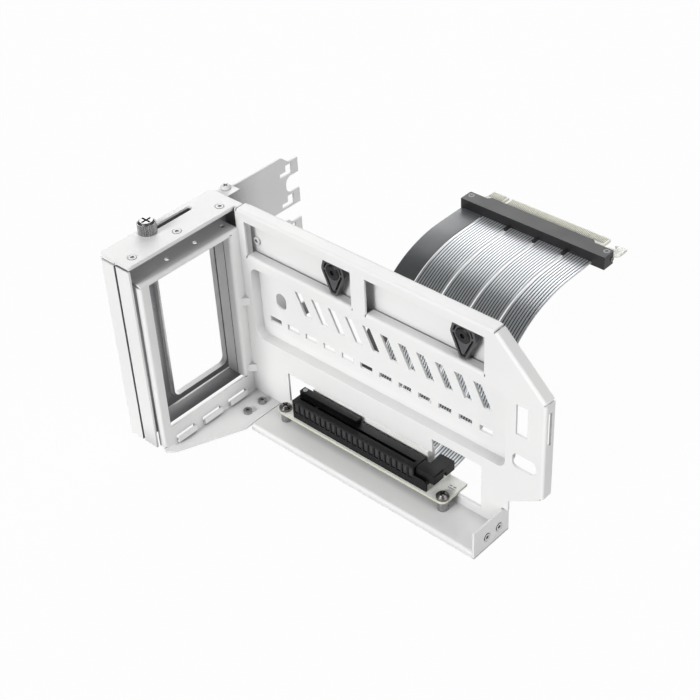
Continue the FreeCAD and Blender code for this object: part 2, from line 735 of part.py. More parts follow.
def pan_screw(place, head_r, head_height, tail):
    """Pan head screw standing on the place, with a cross recess in its sloped head."""
    x, y, z = place
    slope = head_height * PAN_SLOPE
    rim = rod(head_r, place, "z", head_height - slope)
    crown_start = Vector(x, y, z + head_height - slope)
    crown = Part.makeCone(head_r, head_r - slope, slope, crown_start, AXIS["z"])
    shank = prism(SHANK_SIDES, SMALL_SHANK_R, (x, y), "z", z - tail, z)
    top = (x, y, z + head_height)
    reach = head_r * PAN_RECESS_REACH
    recess = cross_recess(top, reach, head_r * PAN_RECESS_WIDTH, head_height * PAN_RECESS_DEPTH)
    return joined([rim, crown, shank]).cut(recess)


def stop_screw():
    """End stop of the carriage, in the free end of the bracket's top flange."""
    return pan_screw((*STOP_SCREW_PLACE, BRACKET_TOP_Z), STOP_HEAD_R, STOP_HEAD_HEIGHT, SCREW_TAIL)


def corner_screw():
    """Pan head screw low on the bracket's outer face."""
    screw = pan_screw((0, 0, 0), CORNER_HEAD_R, CORNER_HEAD_HEIGHT, SCREW_TAIL)
    screw.rotate(Vector(0, 0, 0), AXIS["y"], -90)
    screw.translate(Vector(BRACKET_X, *CORNER_SCREW_PLACE))
    return screw


def thumb_screw():
    """Knurled clamping screw with a domed top and a cross recess."""
    base_z = TOP_Z + CLAMP_GAP
    star = []
    for index in range(2 * THUMB_FLUTES):
        angle = math.pi * index / THUMB_FLUTES
        radius = THUMB_HEAD_R if index % 2 == 0 else THUMB_HEAD_R - FLUTE_DEPTH
        star.append((THUMB_X + radius * math.cos(angle), THUMB_Y + radius * math.sin(angle), 0))
    barrel_top = base_z + THUMB_HEAD_HEIGHT
    barrel = panel(star, "z", base_z, barrel_top)
    dome_r = THUMB_HEAD_R - FLUTE_DEPTH
    dome_start = Vector(THUMB_X, THUMB_Y, barrel_top)
    dome = Part.makeCone(dome_r, dome_r - THUMB_DOME, THUMB_DOME, dome_start, AXIS["z"])
    foot_z = BRACKET_TOP_Z - SHEET - NUT_HEIGHT
    shank = rod(SHANK_R, (THUMB_X, THUMB_Y, foot_z), "z", base_z - foot_z)
    top = (THUMB_X, THUMB_Y, barrel_top + THUMB_DOME)
    recess = cross_recess(top, CROSS_LENGTH / 2, CROSS_WIDTH, CROSS_DEPTH)
    return joined([barrel, dome, shank]).cut(recess)


def cover_screw_places():
    """Places of the three cover screws, seen from above."""
    first = COVER_SCREW_INSET - SIDE_REACH
    last = COVER_REAR - COVER_SCREW_INSET
    return [(WALL_X + COVER_SCREW_DEPTH, y) for y in (first, (first + last) / 2, last)]


def top_plate():
    """Cover plate with the long slot for the thumb screw and a tab beside the back plate."""
    rear = COVER_REAR + COVER_OVERHANG
    outline = [
        (BRACKET_X, -SIDE_REACH, COVER_CORNER),
        (-COVER_SETBACK, -SIDE_REACH, COVER_CORNER),
        (-COVER_SETBACK, SHEET + COVER_TAB_GAP, 0),
        (-COVER_TAB_GAP, SHEET + COVER_TAB_GAP, 0),
        (-COVER_TAB_GAP, rear, 0),
        (BRACKET_X, rear, COVER_CORNER),
    ]
    cover = panel(outline, "z", COVER_UNDER_Z, TOP_Z)
    middle = (THUMB_X, (SLOT_Y[0] + SLOT_Y[1]) / 2)
    slot = stadium(middle, SLOT_WIDTH, SLOT_Y[1] - SLOT_Y[0], "z", COVER_UNDER_Z - 1, TOP_Z + 1)
    seats = [countersink(place, "z", TOP_Z, SUNK_HEAD_R) for place in cover_screw_places()]
    return cover.cut([slot] + seats)


def top_plate_screws():
    """Three countersunk screws that hold the cover on the carriage."""
    return [countersunk_screw(place, "z", TOP_Z, SUNK_HEAD_R) for place in cover_screw_places()]


def slide_plate():
    """Rear wall of the carriage with its side strip, top flange and the rear half of the jamb."""
    flange = CARRIAGE_DEPTH - STRIP_GAP
    jamb = CARRIAGE_DEPTH - JAMB_DEPTH - JAMB_GAP
    low = BRACKET_BOTTOM
    high = COVER_UNDER_Z
    wall = block((WALL_X, WALL_FRONT_X), (-SIDE_REACH, COVER_REAR), (low, high))
    window_top = LEDGE_Z - HEADER
    window = panel(rectangle(WINDOW_Y, (SILL_Z, window_top)), "x", WALL_X - 1, WALL_FRONT_X + 1)
    top_ends = (-SIDE_REACH + RELIEF, COVER_REAR - RELIEF)
    side_end = high - FOLD - CORNER_GAP
    folds = [
        ((WALL_X, -SIDE_REACH, low), (WALL_X, -SIDE_REACH, side_end), (0, 1, 0), (1, 0, 0), flange),
        ((WALL_X, COVER_REAR, low), (WALL_X, COVER_REAR, side_end), (0, -1, 0), (1, 0, 0), flange),
        ((WALL_X, top_ends[0], high), (WALL_X, top_ends[1], high), (0, 0, -1), (1, 0, 0), flange),
        ((WALL_X, WINDOW_Y[1], SILL_Z), (WALL_X, WINDOW_Y[1], window_top), (0, 1, 0), (1, 0, 0), jamb),
    ]
    plate = bent_sheet(wall.cut(window), folds)
    return plate.cut([hidden_hole(place, "z", high - SHEET, high) for place in cover_screw_places()])


def card_hole_places():
    """Places of the three card bracket holes on the ledge."""
    return [(CARD_HOLE_X, CARD_HOLE_Y + SLOT_PITCH * step) for step in (-1, 0, 1)]


def lance(start_y):
    """Raised lance that takes the toe of a card bracket, open at its top."""
    profile = [
        (-LANCE_SHEET, LANCE_FOOT_Z, 0),
        (LANCE_REACH, LANCE_FOOT_Z, LANCE_SHEET),
        (LANCE_REACH, LANCE_TOP_Z, 0),
        (LANCE_REACH - LANCE_SHEET, LANCE_TOP_Z, 0),
        (LANCE_REACH - LANCE_SHEET, LANCE_FOOT_Z + LANCE_SHEET, 0),
        (-LANCE_SHEET, LANCE_FOOT_Z + LANCE_SHEET, 0),
    ]
    return panel(profile, "y", start_y, start_y + LANCE_LENGTH)


def io_frame():
    """Front frame with the card window, screw ledge, lances and the foot on the floor."""
    face_x = (-SHEET, 0)
    left = -FRAME_WIDTH
    window_top = LEDGE_Z - HEADER
    flat = block(face_x, (left, 0), (-SHEET, LEDGE_Z))
    window = panel(rectangle(WINDOW_Y, (SILL_Z, window_top)), "x", -SHEET - 1, 1)
    lance_y = [LANCE_REAR_Y - LANCE_LENGTH - SLOT_PITCH * index for index in range(LANCE_COUNT)]
    lance_z = (LANCE_FOOT_Z + LANCE_SHEET, LANCE_TOP_Z)
    lance_cuts = [block((-SHEET - 1, 1), (y, y + LANCE_LENGTH), lance_z) for y in lance_y]
    ledge = -WALL_FRONT_X
    folds = [
        ((0, left, FOLD), (0, left, LEDGE_Z - FOLD - CORNER_GAP), (0, 1, 0), (-1, 0, 0), FRAME_EDGE),
        ((0, left + RELIEF, LEDGE_Z), (0, 0, LEDGE_Z), (0, 0, -1), (-1, 0, 0), ledge),
        ((0, WINDOW_Y[1], SILL_Z), (0, WINDOW_Y[1], window_top), (0, 1, 0), (-1, 0, 0), JAMB_DEPTH),
        ((-SHEET, left, -SHEET), (-SHEET, 0, -SHEET), (0, 0, 1), (1, 0, 0), FOLD),
    ]
    frame = bent_sheet(flat.cut([window] + lance_cuts), folds)
    toe = BEND_INSIDE
    foot = [
        (toe, left, 0),
        (FOOT_TOE_X, left + FOOT_TOE_INSET, FOOT_ROUND),
        (FOOT_LENGTH, FOOT_WIDE_Y, FOOT_ROUND),
        (FOOT_LENGTH, SHEET, FOOT_END_ROUND),
        (toe, SHEET, 0),
    ]
    pieces = [frame, panel(foot, "z", -SHEET, 0)] + [lance(y) for y in lance_y]
    for middle in GUSSET_Z:
        corners = [(0, 0, 0), (GUSSET_LEG, 0, 0), (0, -GUSSET_LEG, 0)]
        pieces.append(panel(corners, "z", middle - GUSSET_HEIGHT / 2, middle + GUSSET_HEIGHT / 2))
    frame = joined(pieces)
    holes = [rod(CARD_HOLE_R, (x, y, LEDGE_Z - SHEET - 1), "z", SHEET + 2) for x, y in card_hole_places()]
    holes += [hidden_hole((STUD_X, y), "z", -SHEET, 0, STUD_HOLE_R) for y in STUD_Y]
    return frame.cut(holes)


def back_outline():
    """Corners of the back plate, seen from the front."""
    return [
        (-SHEET, 0, 0),
        (END_PLATE_X, 0, 0),
        (END_PLATE_X, END_PLATE_TOP_Z + FLOOR_GAP, 0),
        (HEEL_X, END_PLATE_TOP_Z + FLOOR_GAP, 0),
        (HEEL_X, HEEL_Z, 0),
        (PLATE_LENGTH, RIGHT_END_Z, 0),
        (PLATE_LENGTH, CHAMFER_END_Z, 0),
        (CHAMFER_START_X, TOP_Z, 0),
        (-SHEET, TOP_Z, 0),
    ]


def stencil_cutters():
    """Plain row of leaning vents over a row of short dashes, and the oval hole beside them."""
    levels = (PANEL_FLOOR_Y - 1, FLANGE_DEPTH + 1)
    oval = (PANEL_X[0] + OVAL_START, PANEL_Z[1] - OVAL_DROP)
    cutters = [stadium(oval, OVAL_WIDTH, OVAL_HEIGHT, "y", *levels)]
    vent_z = PANEL_Z[1] - VENT_DROP
    low, high = (vent_z - VENT_HEIGHT / 2, vent_z + VENT_HEIGHT / 2)
    for index in range(VENT_COUNT):
        foot = PANEL_X[0] + VENT_START + VENT_LEAN / 2 - VENT_WIDTH / 2 + VENT_PITCH * index
        head = foot - VENT_LEAN
        vent = [(foot, low, 0), (foot + VENT_WIDTH, low, 0), (head + VENT_WIDTH, high, 0), (head, high, 0)]
        cutters.append(panel(vent, "y", *levels))
    dash_z = (PANEL_Z[0] + DASH_RISE - DASH_HEIGHT / 2, PANEL_Z[0] + DASH_RISE + DASH_HEIGHT / 2)
    for index in range(DASH_COUNT):
        start = PANEL_X[0] + DASH_START - DASH_LENGTH / 2 + DASH_PITCH * index
        cutters.append(block((start, start + DASH_LENGTH), levels, dash_z))
    return cutters


def back_plate():
    """Long folded plate with two windows, the sunk panel and the cable opening."""
    flat = panel(back_outline(), "y", 0, SHEET)
    through = (-1, SHEET + 1)
    cuts = [panel(rectangle(span, (WINDOW_LOW_Z, WINDOW_HIGH_Z)), "y", *through) for span in WINDOW_SPANS]
    cuts.append(panel(rectangle(PANEL_X, PANEL_Z, PANEL_CORNER), "y", *through))
    cuts.append(block(TIE_SLOT_X, through, TIE_SLOT_Z))
    cuts.append(panel(rectangle(GRIP_HOLE_X, GRIP_HOLE_Z, GRIP_HOLE_ROUND), "y", *through))
    opening = [
        (CABLE_X[0], CABLE_Z[0], 0),
        (CABLE_X[1], CABLE_Z[0], 0),
        (CABLE_X[1], CABLE_STEP_Z, 0),
        (CABLE_STEP_X, CABLE_STEP_Z, 0),
        (CABLE_STEP_X, CABLE_Z[1], 0),
        (CABLE_X[0], CABLE_Z[1], 0),
    ]
    cuts.append(panel(opening, "y", *through))
    slant = Vector(PLATE_LENGTH - CHAMFER_START_X, 0, CHAMFER_END_Z - TOP_Z).normalize()
    inward = (slant.z, 0, -slant.x)
    chamfer_start = Vector(CHAMFER_START_X, 0, TOP_Z) + slant * RELIEF
    chamfer_end = Vector(PLATE_LENGTH, 0, CHAMFER_END_Z) - slant * RELIEF
    rear = (0, 1, 0)
    right_top = (PLATE_LENGTH, 0, CHAMFER_END_Z - RELIEF)
    right_low = (PLATE_LENGTH, 0, RIGHT_END_Z)
    folds = [
        ((0, 0, TOP_Z), (CHAMFER_START_X - RELIEF, 0, TOP_Z), (0, 0, -1), rear, FLANGE_DEPTH),
        (tuple(chamfer_start), tuple(chamfer_end), inward, rear, FLANGE_DEPTH),
        (right_low, right_top, (-1, 0, 0), rear, FLANGE_DEPTH),
    ]
    for left, right in WINDOW_SPANS:
        sill = ((left, 0, WINDOW_LOW_Z), (right, 0, WINDOW_LOW_Z), (0, 0, -1), rear, PANEL_FLOOR_Y)
        folds.append(sill)
    plate = bent_sheet(flat.cut(cuts), folds)
    outer_x = (PANEL_X[0] - SHEET, PANEL_X[1] + SHEET)
    outer_z = (PANEL_Z[0] - SHEET, PANEL_Z[1] + SHEET)
    tray = panel(rectangle(outer_x, outer_z, PANEL_CORNER + SHEET), "y", 0, FLANGE_DEPTH)
    tray = tray.cut(panel(rectangle(PANEL_X, PANEL_Z, PANEL_CORNER), "y", -1, PANEL_FLOOR_Y))
    plate = joined([plate, tray])
    edge_slot = block((PLATE_LENGTH - FOLD - 1, PLATE_LENGTH + 1), EDGE_SLOT_Y, EDGE_SLOT_Z)
    return plate.cut(stencil_cutters() + [edge_slot])


def rear_rail():
    """Flat strip that closes the windows from behind and carries the clips."""
    levels = (FLANGE_DEPTH, FLANGE_DEPTH + SHEET)
    hole_r = RIVET_SHANK_R + SUNK_CLEARANCE
    holes = [hidden_hole((x, RIVET_Z), "y", *levels, hole_r) for x in RIVET_X]
    return block(RAIL_X, levels, RAIL_Z).cut(holes)


def rail_rivets():
    """Rivets with a head on both sides of the rail."""
    rivets = []
    for x in RIVET_X:
        front = FLANGE_DEPTH - RIVET_HEAD_HEIGHT
        rear = FLANGE_DEPTH + SHEET
        head = rod(RIVET_HEAD_R, (x, front, RIVET_Z), "y", RIVET_HEAD_HEIGHT)
        tail = prism(SHANK_SIDES, RIVET_HEAD_R, (x, RIVET_Z), "y", rear, rear + RIVET_HEAD_HEIGHT)
        shank = prism(SHANK_SIDES, RIVET_SHANK_R, (x, RIVET_Z), "y", front, rear)
        cup = prism(SHANK_SIDES, RIVET_CUP_R, (x, RIVET_Z), "y", front, front + RIVET_CUP_DEPTH)
        rivets.append(joined([head, shank, tail]).cut(cup))
    return rivets


def clip_outline(middle, inset):
    """Pick shape with wide shoulders and a blunt tip, moved inwards by the inset."""
    half = CLIP_HALF_WIDTH - inset
    top_half = CLIP_TOP_HALF - inset
    tip = CLIP_TIP_HALF - inset / 2
    tip_round = 0 if inset else CLIP_TIP_ROUND
    top_round = 0 if inset else CLIP_TOP_ROUND
    top = CLIP_TOP_Z - inset
    shoulder = CLIP_TOP_Z - CLIP_SHOULDER_DROP
    low = CLIP_TIP_Z + inset
    return [
        (middle - tip, low, tip_round),
        (middle + tip, low, tip_round),
        (middle + half, shoulder, CLIP_BEND_ROUND),
        (middle + top_half, top, top_round),
        (middle - top_half, top, top_round),
        (middle - half, shoulder, CLIP_BEND_ROUND),
    ]


def clip(middle):
    """Moulded holder on a stem, with a groove inside its rim and a sunk seat for its knob."""
    rear = CLIP_FRONT_Y + CLIP_DEPTH
    body = panel(clip_outline(middle, 0), "y", CLIP_FRONT_Y, rear)
    groove_y = (CLIP_FRONT_Y, CLIP_FRONT_Y + CLIP_POCKET)
    groove = panel(clip_outline(middle, CLIP_WALL), "y", *groove_y)
    groove = groove.cut(panel(clip_outline(middle, CLIP_WALL + CLIP_GROOVE), "y", *groove_y))
    knob_z = CLIP_TOP_Z - KNOB_DROP
    seat_r = KNOB_R + KNOB_SEAT_CLEARANCE
    boss = rod(seat_r + KNOB_BOSS_WALL, (middle, CLIP_FRONT_Y, knob_z), "y", CLIP_DEPTH)
    half_rib = CLIP_RIB / 2
    across = (middle - CLIP_HALF_WIDTH, middle + CLIP_HALF_WIDTH)
    rib = block(across, (CLIP_FRONT_Y, rear), (knob_z - half_rib, knob_z + half_rib))
    seat = rod(seat_r, (middle, CLIP_FRONT_Y - 1, knob_z), "y", KNOB_SEAT_DEPTH + 1)
    stem = panel(clip_outline(middle, CLIP_STEM_INSET), "y", rear, FLANGE_DEPTH)
    holder = joined([body.cut(groove), boss.common(body), rib.common(body), stem])
    return holder.cut(seat)


def clip_knob(middle):
    """Round knob in a clip's seat, with a sloped rim and a hexagon socket."""
    knob_z = CLIP_TOP_Z - KNOB_DROP
    front = CLIP_FRONT_Y + KNOB_SEAT_DEPTH - KNOB_HEIGHT
    rim = rod(KNOB_R, (middle, front + KNOB_SLOPE, knob_z), "y", KNOB_HEIGHT - KNOB_SLOPE)
    crown_start = Vector(middle, front, knob_z)
    crown = Part.makeCone(KNOB_R - KNOB_SLOPE, KNOB_R, KNOB_SLOPE, crown_start, AXIS["y"])
    socket = prism(HEX_SIDES, KNOB_SOCKET_R, (middle, knob_z), "y", front, front + KNOB_SOCKET_DEPTH)
    return joined([rim, crown]).cut(socket)


def base_plate():
    """Floor under the card slot, with lips turned down and a joggled tongue under the foot."""
    start_x = FOOT_LENGTH + FLOOR_GAP
    flat = block((start_x, END_PLATE_X), (FLOOR_FRONT_Y, FLOOR_REAR_Y), (-SHEET, 0))
    down = (0, 0, -1)
    folds = [
        ((start_x, FLOOR_FRONT_Y, 0), (END_PLATE_X, FLOOR_FRONT_Y, 0), (0, 1, 0), down, FLOOR_LIP),
        ((start_x, FLOOR_REAR_Y, 0), (END_PLATE_X, FLOOR_REAR_Y, 0), (0, -1, 0), down, FLOOR_LIP),
    ]
    floor = bent_sheet(flat, folds)
    tongue_x = (TONGUE_START_X, start_x + TONGUE_LAP)
    tongue_y = (FLOOR_FRONT_Y + TONGUE_INSET[0], FLOOR_REAR_Y - TONGUE_INSET[1])
    tongue = block(tongue_x, tongue_y, (-2 * SHEET, -SHEET))
    tab_x = (END_PLATE_X - SHEET, END_PLATE_X)
    tab = block(tab_x, (FLOOR_FRONT_Y + END_TAB_FRONT, END_TAB_REAR_Y), (0, END_TAB_HEIGHT))
    holes = [hidden_hole((y, END_SCREW_Z), "x", *tab_x) for y in END_SCREW_Y]
    holes += [hidden_hole((STUD_X, y), "z", -2 * SHEET, -SHEET, STUD_HOLE_R) for y in STUD_Y]
    holes += [hidden_hole((x, BOARD_SCREW_Y), "z", -SHEET, 0) for x in BOARD_SCREW_X]
    return joined([floor, tongue, tab]).cut(holes)


def base_end_plate():
    """Cheek on the floor's end with a cut rear corner and two countersunk holes."""
    outline = [
        (FLOOR_FRONT_Y, -FLOOR_LIP, 0),
        (FLOOR_REAR_Y, -FLOOR_LIP, 0),
        (FLOOR_REAR_Y, END_PLATE_TOP_Z - END_PLATE_CORNER, 0),
        (FLOOR_REAR_Y - END_PLATE_CORNER, END_PLATE_TOP_Z, 0),
        (FLOOR_FRONT_Y, END_PLATE_TOP_Z, 0),
    ]
    cheek = panel(outline, "x", END_PLATE_X, FLOOR_END_X)
    return cheek.cut([countersink((y, END_SCREW_Z), "x", FLOOR_END_X, END_SCREW_R) for y in END_SCREW_Y])


def base_end_screws():
    """Two countersunk screws through the cheek into the floor's tab."""
    return [countersunk_screw((y, END_SCREW_Z), "x", FLOOR_END_X, END_SCREW_R) for y in END_SCREW_Y]


def foot_studs():
    """Two studs that rivet the foot to the floor's tongue, flush below."""
    studs = []
    for y in STUD_Y:
        head = rod(STUD_HEAD_R, (STUD_X, y, 0), "z", STUD_HEAD_HEIGHT)
        shank = prism(SHANK_SIDES, STUD_SHANK_R, (STUD_X, y), "z", -2 * SHEET, 0)
        socket_z = (STUD_HEAD_HEIGHT - STUD_SOCKET_DEPTH, STUD_HEAD_HEIGHT)
        socket = prism(HEX_SIDES, STUD_SOCKET_R, (STUD_X, y), "z", *socket_z)
        studs.append(joined([head, shank]).cut(socket))
    return studs


def board_standoffs():
    """Round spacers between floor and connector board."""
    spacers = []
    for x in BOARD_SCREW_X:
        spacer = rod(STANDOFF_R, (x, BOARD_SCREW_Y, 0), "z", BOARD_Z)
        spacers.append(spacer.cut(hidden_hole((x, BOARD_SCREW_Y), "z", 0, BOARD_Z)))
    return spacers


def board_screws():
    """Pan head screws that hold the board on its spacers."""
    tail = BOARD_TOP_Z + SHEET
    places = [(x, BOARD_SCREW_Y, BOARD_TOP_Z) for x in BOARD_SCREW_X]
    return [pan_screw(place, BOARD_HEAD_R, BOARD_HEAD_HEIGHT, tail) for place in places]


def connector_board():
    """Circuit board of the card slot, with a round ear at its left screw."""
    root = BOARD_X[0] + BOARD_EAR_REACH
    ear_rear = BOARD_Y[0] + 2 * BOARD_EAR_R
    outline = [
        (BOARD_X[0], BOARD_Y[0], BOARD_EAR_R),
        (BOARD_X[1], BOARD_Y[0], BOARD_EAR_R),
        (BOARD_X[1], BOARD_Y[1], 0),
        (root, BOARD_Y[1], 0),
        (root, ear_rear, 0),
        (BOARD_X[0], ear_rear, BOARD_EAR_R - SUNK_CLEARANCE),
    ]
    board = panel(outline, "z", BOARD_Z, BOARD_TOP_Z)
    holes = [hidden_hole((x, BOARD_SCREW_Y), "z", BOARD_Z, BOARD_TOP_Z) for x in BOARD_SCREW_X]
    return board.cut(holes)


def mouth_spans():
    """Ends of the two stretches of the slot's mouth, on either side of the key."""
    first = SLOT_BODY_X[0] + SLOT_END_WALL
    last = SLOT_BODY_X[1] - SLOT_END_WALL
    return [(first, SLOT_KEY_X), (SLOT_KEY_X + SLOT_KEY_WIDTH, last)]


def slot_housing():
    """Ribbed card slot with its key, raised rear wall and the cheeks that carry the latch."""
    low = BOARD_TOP_Z
    high = low + SLOT_BODY_HEIGHT
    body = block(SLOT_BODY_X, SLOT_BODY_Y, (low, high))
    mouth_y = (SLOT_MOUTH_Y - SLOT_MOUTH_WIDTH / 2, SLOT_MOUTH_Y + SLOT_MOUTH_WIDTH / 2)
    cuts = [block(span, mouth_y, (high - SLOT_MOUTH_DEPTH, high + 1)) for span in mouth_spans()]
    pitch = (SLOT_BODY_X[1] - SLOT_BODY_X[0] - RIB_WIDTH) / RIB_COUNT
    bay_z = (low + BAY_FOOT, high - BAY_HEAD)
    front = (SLOT_BODY_Y[0] - 1, SLOT_BODY_Y[0] + RIB_DEPTH)
    for index in range(RIB_COUNT):
        bay_x = SLOT_BODY_X[0] + RIB_WIDTH + pitch * index
        cuts.append(block((bay_x, bay_x + pitch - RIB_WIDTH), front, bay_z))
    rise_y = (mouth_y[1] + SLOT_MOUTH_WIDTH / 2, SLOT_BODY_Y[1])
    rise = block((SLOT_BODY_X[0], SLOT_REAR_END_X), rise_y, (high, high + SLOT_REAR_RISE))
    housing = body.cut(cuts)
    cheek_end = SLOT_BODY_X[1] + CHEEK_LENGTH
    cheek = [
        (SLOT_BODY_X[1], low, 0),
        (cheek_end, low, 0),
        (cheek_end, low + CHEEK_HEIGHT, CHEEK_ROUND),
        (SLOT_BODY_X[1], low + CHEEK_HEIGHT, 0),
    ]
    cheek_starts = (SLOT_BODY_Y[0], SLOT_BODY_Y[1] - CHEEK_SHEET)
    cheeks = [panel(cheek, "y", start, start + CHEEK_SHEET) for start in cheek_starts]
    housing = joined([housing, rise] + cheeks)
    bore_r = PIVOT_R + PIVOT_CLEARANCE
    bore_length = SLOT_BODY_Y[1] - SLOT_BODY_Y[0] + 2
    return housing.cut(rod(bore_r, (PIVOT_X, SLOT_BODY_Y[0] - 1, PIVOT_Z), "y", bore_length))


def slot_contacts():
    """Contact rows that line both sides of the slot's mouth."""
    floor = BOARD_TOP_Z + SLOT_BODY_HEIGHT - SLOT_MOUTH_DEPTH
    rows = []
    for span in mouth_spans():
        for side in (-1, 1):
            wall = SLOT_MOUTH_Y + side * SLOT_MOUTH_WIDTH / 2
            inner = wall - side * CONTACT_SHEET
            rows.append(block(span, (wall, inner), (floor, floor + CONTACT_HEIGHT)))
    return rows


def slot_latch():
    """Card retention latch: a lever between the cheeks with a thumb block behind the slot's end."""
    low = BOARD_TOP_Z + LATCH_CLEARANCE
    back = SLOT_BODY_X[1] + LATCH_CLEARANCE
    tip = SLOT_BODY_X[1] + LATCH_REACH
    top = BOARD_TOP_Z + LATCH_TOP
    block_z = BOARD_TOP_Z + LATCH_BLOCK_FOOT
    bridge_z = BOARD_TOP_Z + LATCH_BRIDGE_FOOT
    profile = [
        (back, PIVOT_Z, 0),
        (PIVOT_X - LATCH_FOOT / 2, low, 0),
        (PIVOT_X + LATCH_FOOT / 2, low, 0),
        (PIVOT_X + LATCH_FOOT, block_z, 0),
        (tip, block_z, LATCH_ROUND),
        (tip, top, LATCH_ROUND),
        (back, top, 0),
    ]
    inside = CHEEK_SHEET + LATCH_CLEARANCE
    lever_y = (SLOT_BODY_Y[0] + inside, SLOT_BODY_Y[1] - inside)
    wing_x = (SLOT_BODY_X[1] + LATCH_BLOCK_START, tip)
    wing = [
        (lever_y[1], bridge_z, 0),
        (SLOT_BODY_Y[1] + LATCH_BLOCK_GAP, bridge_z, 0),
        (SLOT_BODY_Y[1] + LATCH_BLOCK_GAP, block_z, 0),
        (LATCH_BLOCK_REAR, block_z, 0),
        (LATCH_BLOCK_REAR, top, 0),
        (lever_y[1], top, 0),
    ]
    lever = joined([panel(profile, "y", *lever_y), panel(wing, "x", *wing_x)])
    pin_length = SLOT_BODY_Y[1] - SLOT_BODY_Y[0]
    pin = rod(PIVOT_R, (PIVOT_X, SLOT_BODY_Y[0], PIVOT_Z), "y", pin_length)
    return joined([lever, pin])


def ribbon_clamp():
    """White moulding on the board's rear edge that holds the cable ends."""
    first = PLAIN_CABLE_X[0] - CLAMP_SIDE
    depth = (CLAMP_Y, BOARD_Y[1])
    run_x = (first, RIBBED_CABLES_X[-1][1] + CLAMP_SIDE)
    run = block(run_x, depth, (BOARD_TOP_Z, BOARD_TOP_Z + CLAMP_RISE))
    cover_x = (first, SLOT_BODY_X[1] - CLAMP_COVER_SETBACK)
    return joined([run, block(cover_x, depth, (BOARD_TOP_Z, BOARD_TOP_Z + CLAMP_COVER_RISE))])


def cable_path():
    """Straight runs and tangent arcs along the cable's route, with the arcs' radii."""
    points = [Vector(0, y, z) for y, z in CABLE_ROUTE]
    stretches = []
    radii = []
    leave = points[0]
    for before, here, after in zip(points, points[1:], points[2:]):
        back = (before - here).normalize()
        ahead = (after - here).normalize()
        half = back.getAngle(ahead) / 2
        shorter = min(here.distanceToPoint(before), here.distanceToPoint(after))
        reach = ARC_SHARE * shorter
        radius = reach * math.tan(half)
        inward = (back + ahead).normalize()
        middle = here + inward * (radius / math.sin(half) - radius)
        stretches.append((leave, None, here + back * reach))
        stretches.append((here + back * reach, middle, here + ahead * reach))
        radii.append(radius)
        leave = here + ahead * reach
    stretches.append((leave, None, points[-1]))
    return stretches, radii


def cable_face():
    """Side face of a flat cable: its route with half the thickness to either hand."""
    stretches, _ = cable_path()
    half = CABLE_SHEET / 2
    sides = {1: [], -1: []}
    for start, middle, end in stretches:
        if middle is None:
            across = AXIS["x"].cross(end - start).normalize() * half
            for side in sides:
                sides[side].append(Part.LineSegment(start + across * side, end + across * side).toShape())
            continue
        arc = Part.Arc(start, middle, end)
        center = arc.toShape().Curve.Center
        for side in sides:
            turn = AXIS["x"].cross(end - start).dot(start - center)
            grow = side * half * (1 if turn > 0 else -1)
            points = [p + (p - center).normalize() * grow for p in (start, middle, end)]
            sides[side].append(Part.Arc(*points).toShape())
    first = Part.LineSegment(sides[1][0].valueAt(sides[1][0].FirstParameter),
                             sides[-1][0].valueAt(sides[-1][0].FirstParameter)).toShape()
    last = Part.LineSegment(sides[1][-1].valueAt(sides[1][-1].LastParameter),
                            sides[-1][-1].valueAt(sides[-1][-1].LastParameter)).toShape()
    edges = Part.__sortEdges__(sides[1] + sides[-1] + [first, last])
    return Part.Face(Part.Wire(edges))


def flat_cable(span):
    """One flat cable between two X ends along the shared route."""
    cable = cable_face().extrude(AXIS["x"] * (span[1] - span[0]))
    cable.translate(Vector(span[0], 0, 0))
    return cable


def plug_outline():
    """Corners of the plug seen from above, with the swell of its rear edge."""
    front = CABLE_END_Y
    rear = PLUG_REAR_Y
    return [
        (PLUG_X[0], front, 0),
        (PLUG_X[1], front, 0),
        (PLUG_X[1], rear, PLUG_CORNER),
        (PLUG_SWELL_X[1] + PLUG_SWELL, rear, 0),
        (PLUG_SWELL_X[1], rear + PLUG_SWELL, 0),
        (PLUG_SWELL_X[0], rear + PLUG_SWELL, 0),
        (PLUG_SWELL_X[0] - PLUG_SWELL, rear, 0),
        (PLUG_X[0], rear, PLUG_CORNER),
    ]


def plug_screw_places():
    """Places of the two plug screws on the cover's top face."""
    y = PLUG_REAR_Y - PLUG_SCREW_INSET
    return [(x, y) for x in (PLUG_X[0] + PLUG_SCREW_INSET, PLUG_X[1] - PLUG_SCREW_INSET)]


def plug_cover():
    """Upper half of the plug's moulding, with a pocket over the edge board."""
    cover = panel(plug_outline(), "z", PLUG_SPLIT_Z, PLUG_TOP_Z).cut(plug_board())
    seat_r = PLUG_SCREW_HEAD_R + SUNK_CLEARANCE
    cuts = []
    for x, y in plug_screw_places():
        cuts.append(rod(seat_r, (x, y, PLUG_TOP_Z - PLUG_SCREW_HEAD_HEIGHT), "z", PLUG_TOP_Z))
        cuts.append(hidden_hole((x, y), "z", PLUG_SPLIT_Z, PLUG_TOP_Z))
    return cover.cut(cuts)


def plug_base():
    """Lower half of the plug's moulding, which the cables enter, with a tab over each cable joint."""
    pieces = [panel(plug_outline(), "z", PLUG_LOW_Z, PLUG_SPLIT_Z)]
    tab_y = (CABLE_END_Y - PLUG_TAB_LENGTH, CABLE_END_Y)
    tab_z = (CABLE_END_Z + CABLE_SHEET / 2 + PLUG_TAB_GAP, PLUG_SPLIT_Z)
    for before, after in zip(RIBBED_CABLES_X, RIBBED_CABLES_X[1:]):
        middle = (before[1] + after[0]) / 2
        pieces.append(block((middle - PLUG_TAB_WIDTH / 2, middle + PLUG_TAB_WIDTH / 2), tab_y, tab_z))
    holes = [hidden_hole(place, "z", PLUG_LOW_Z, PLUG_SPLIT_Z) for place in plug_screw_places()]
    return joined(pieces).cut(holes)


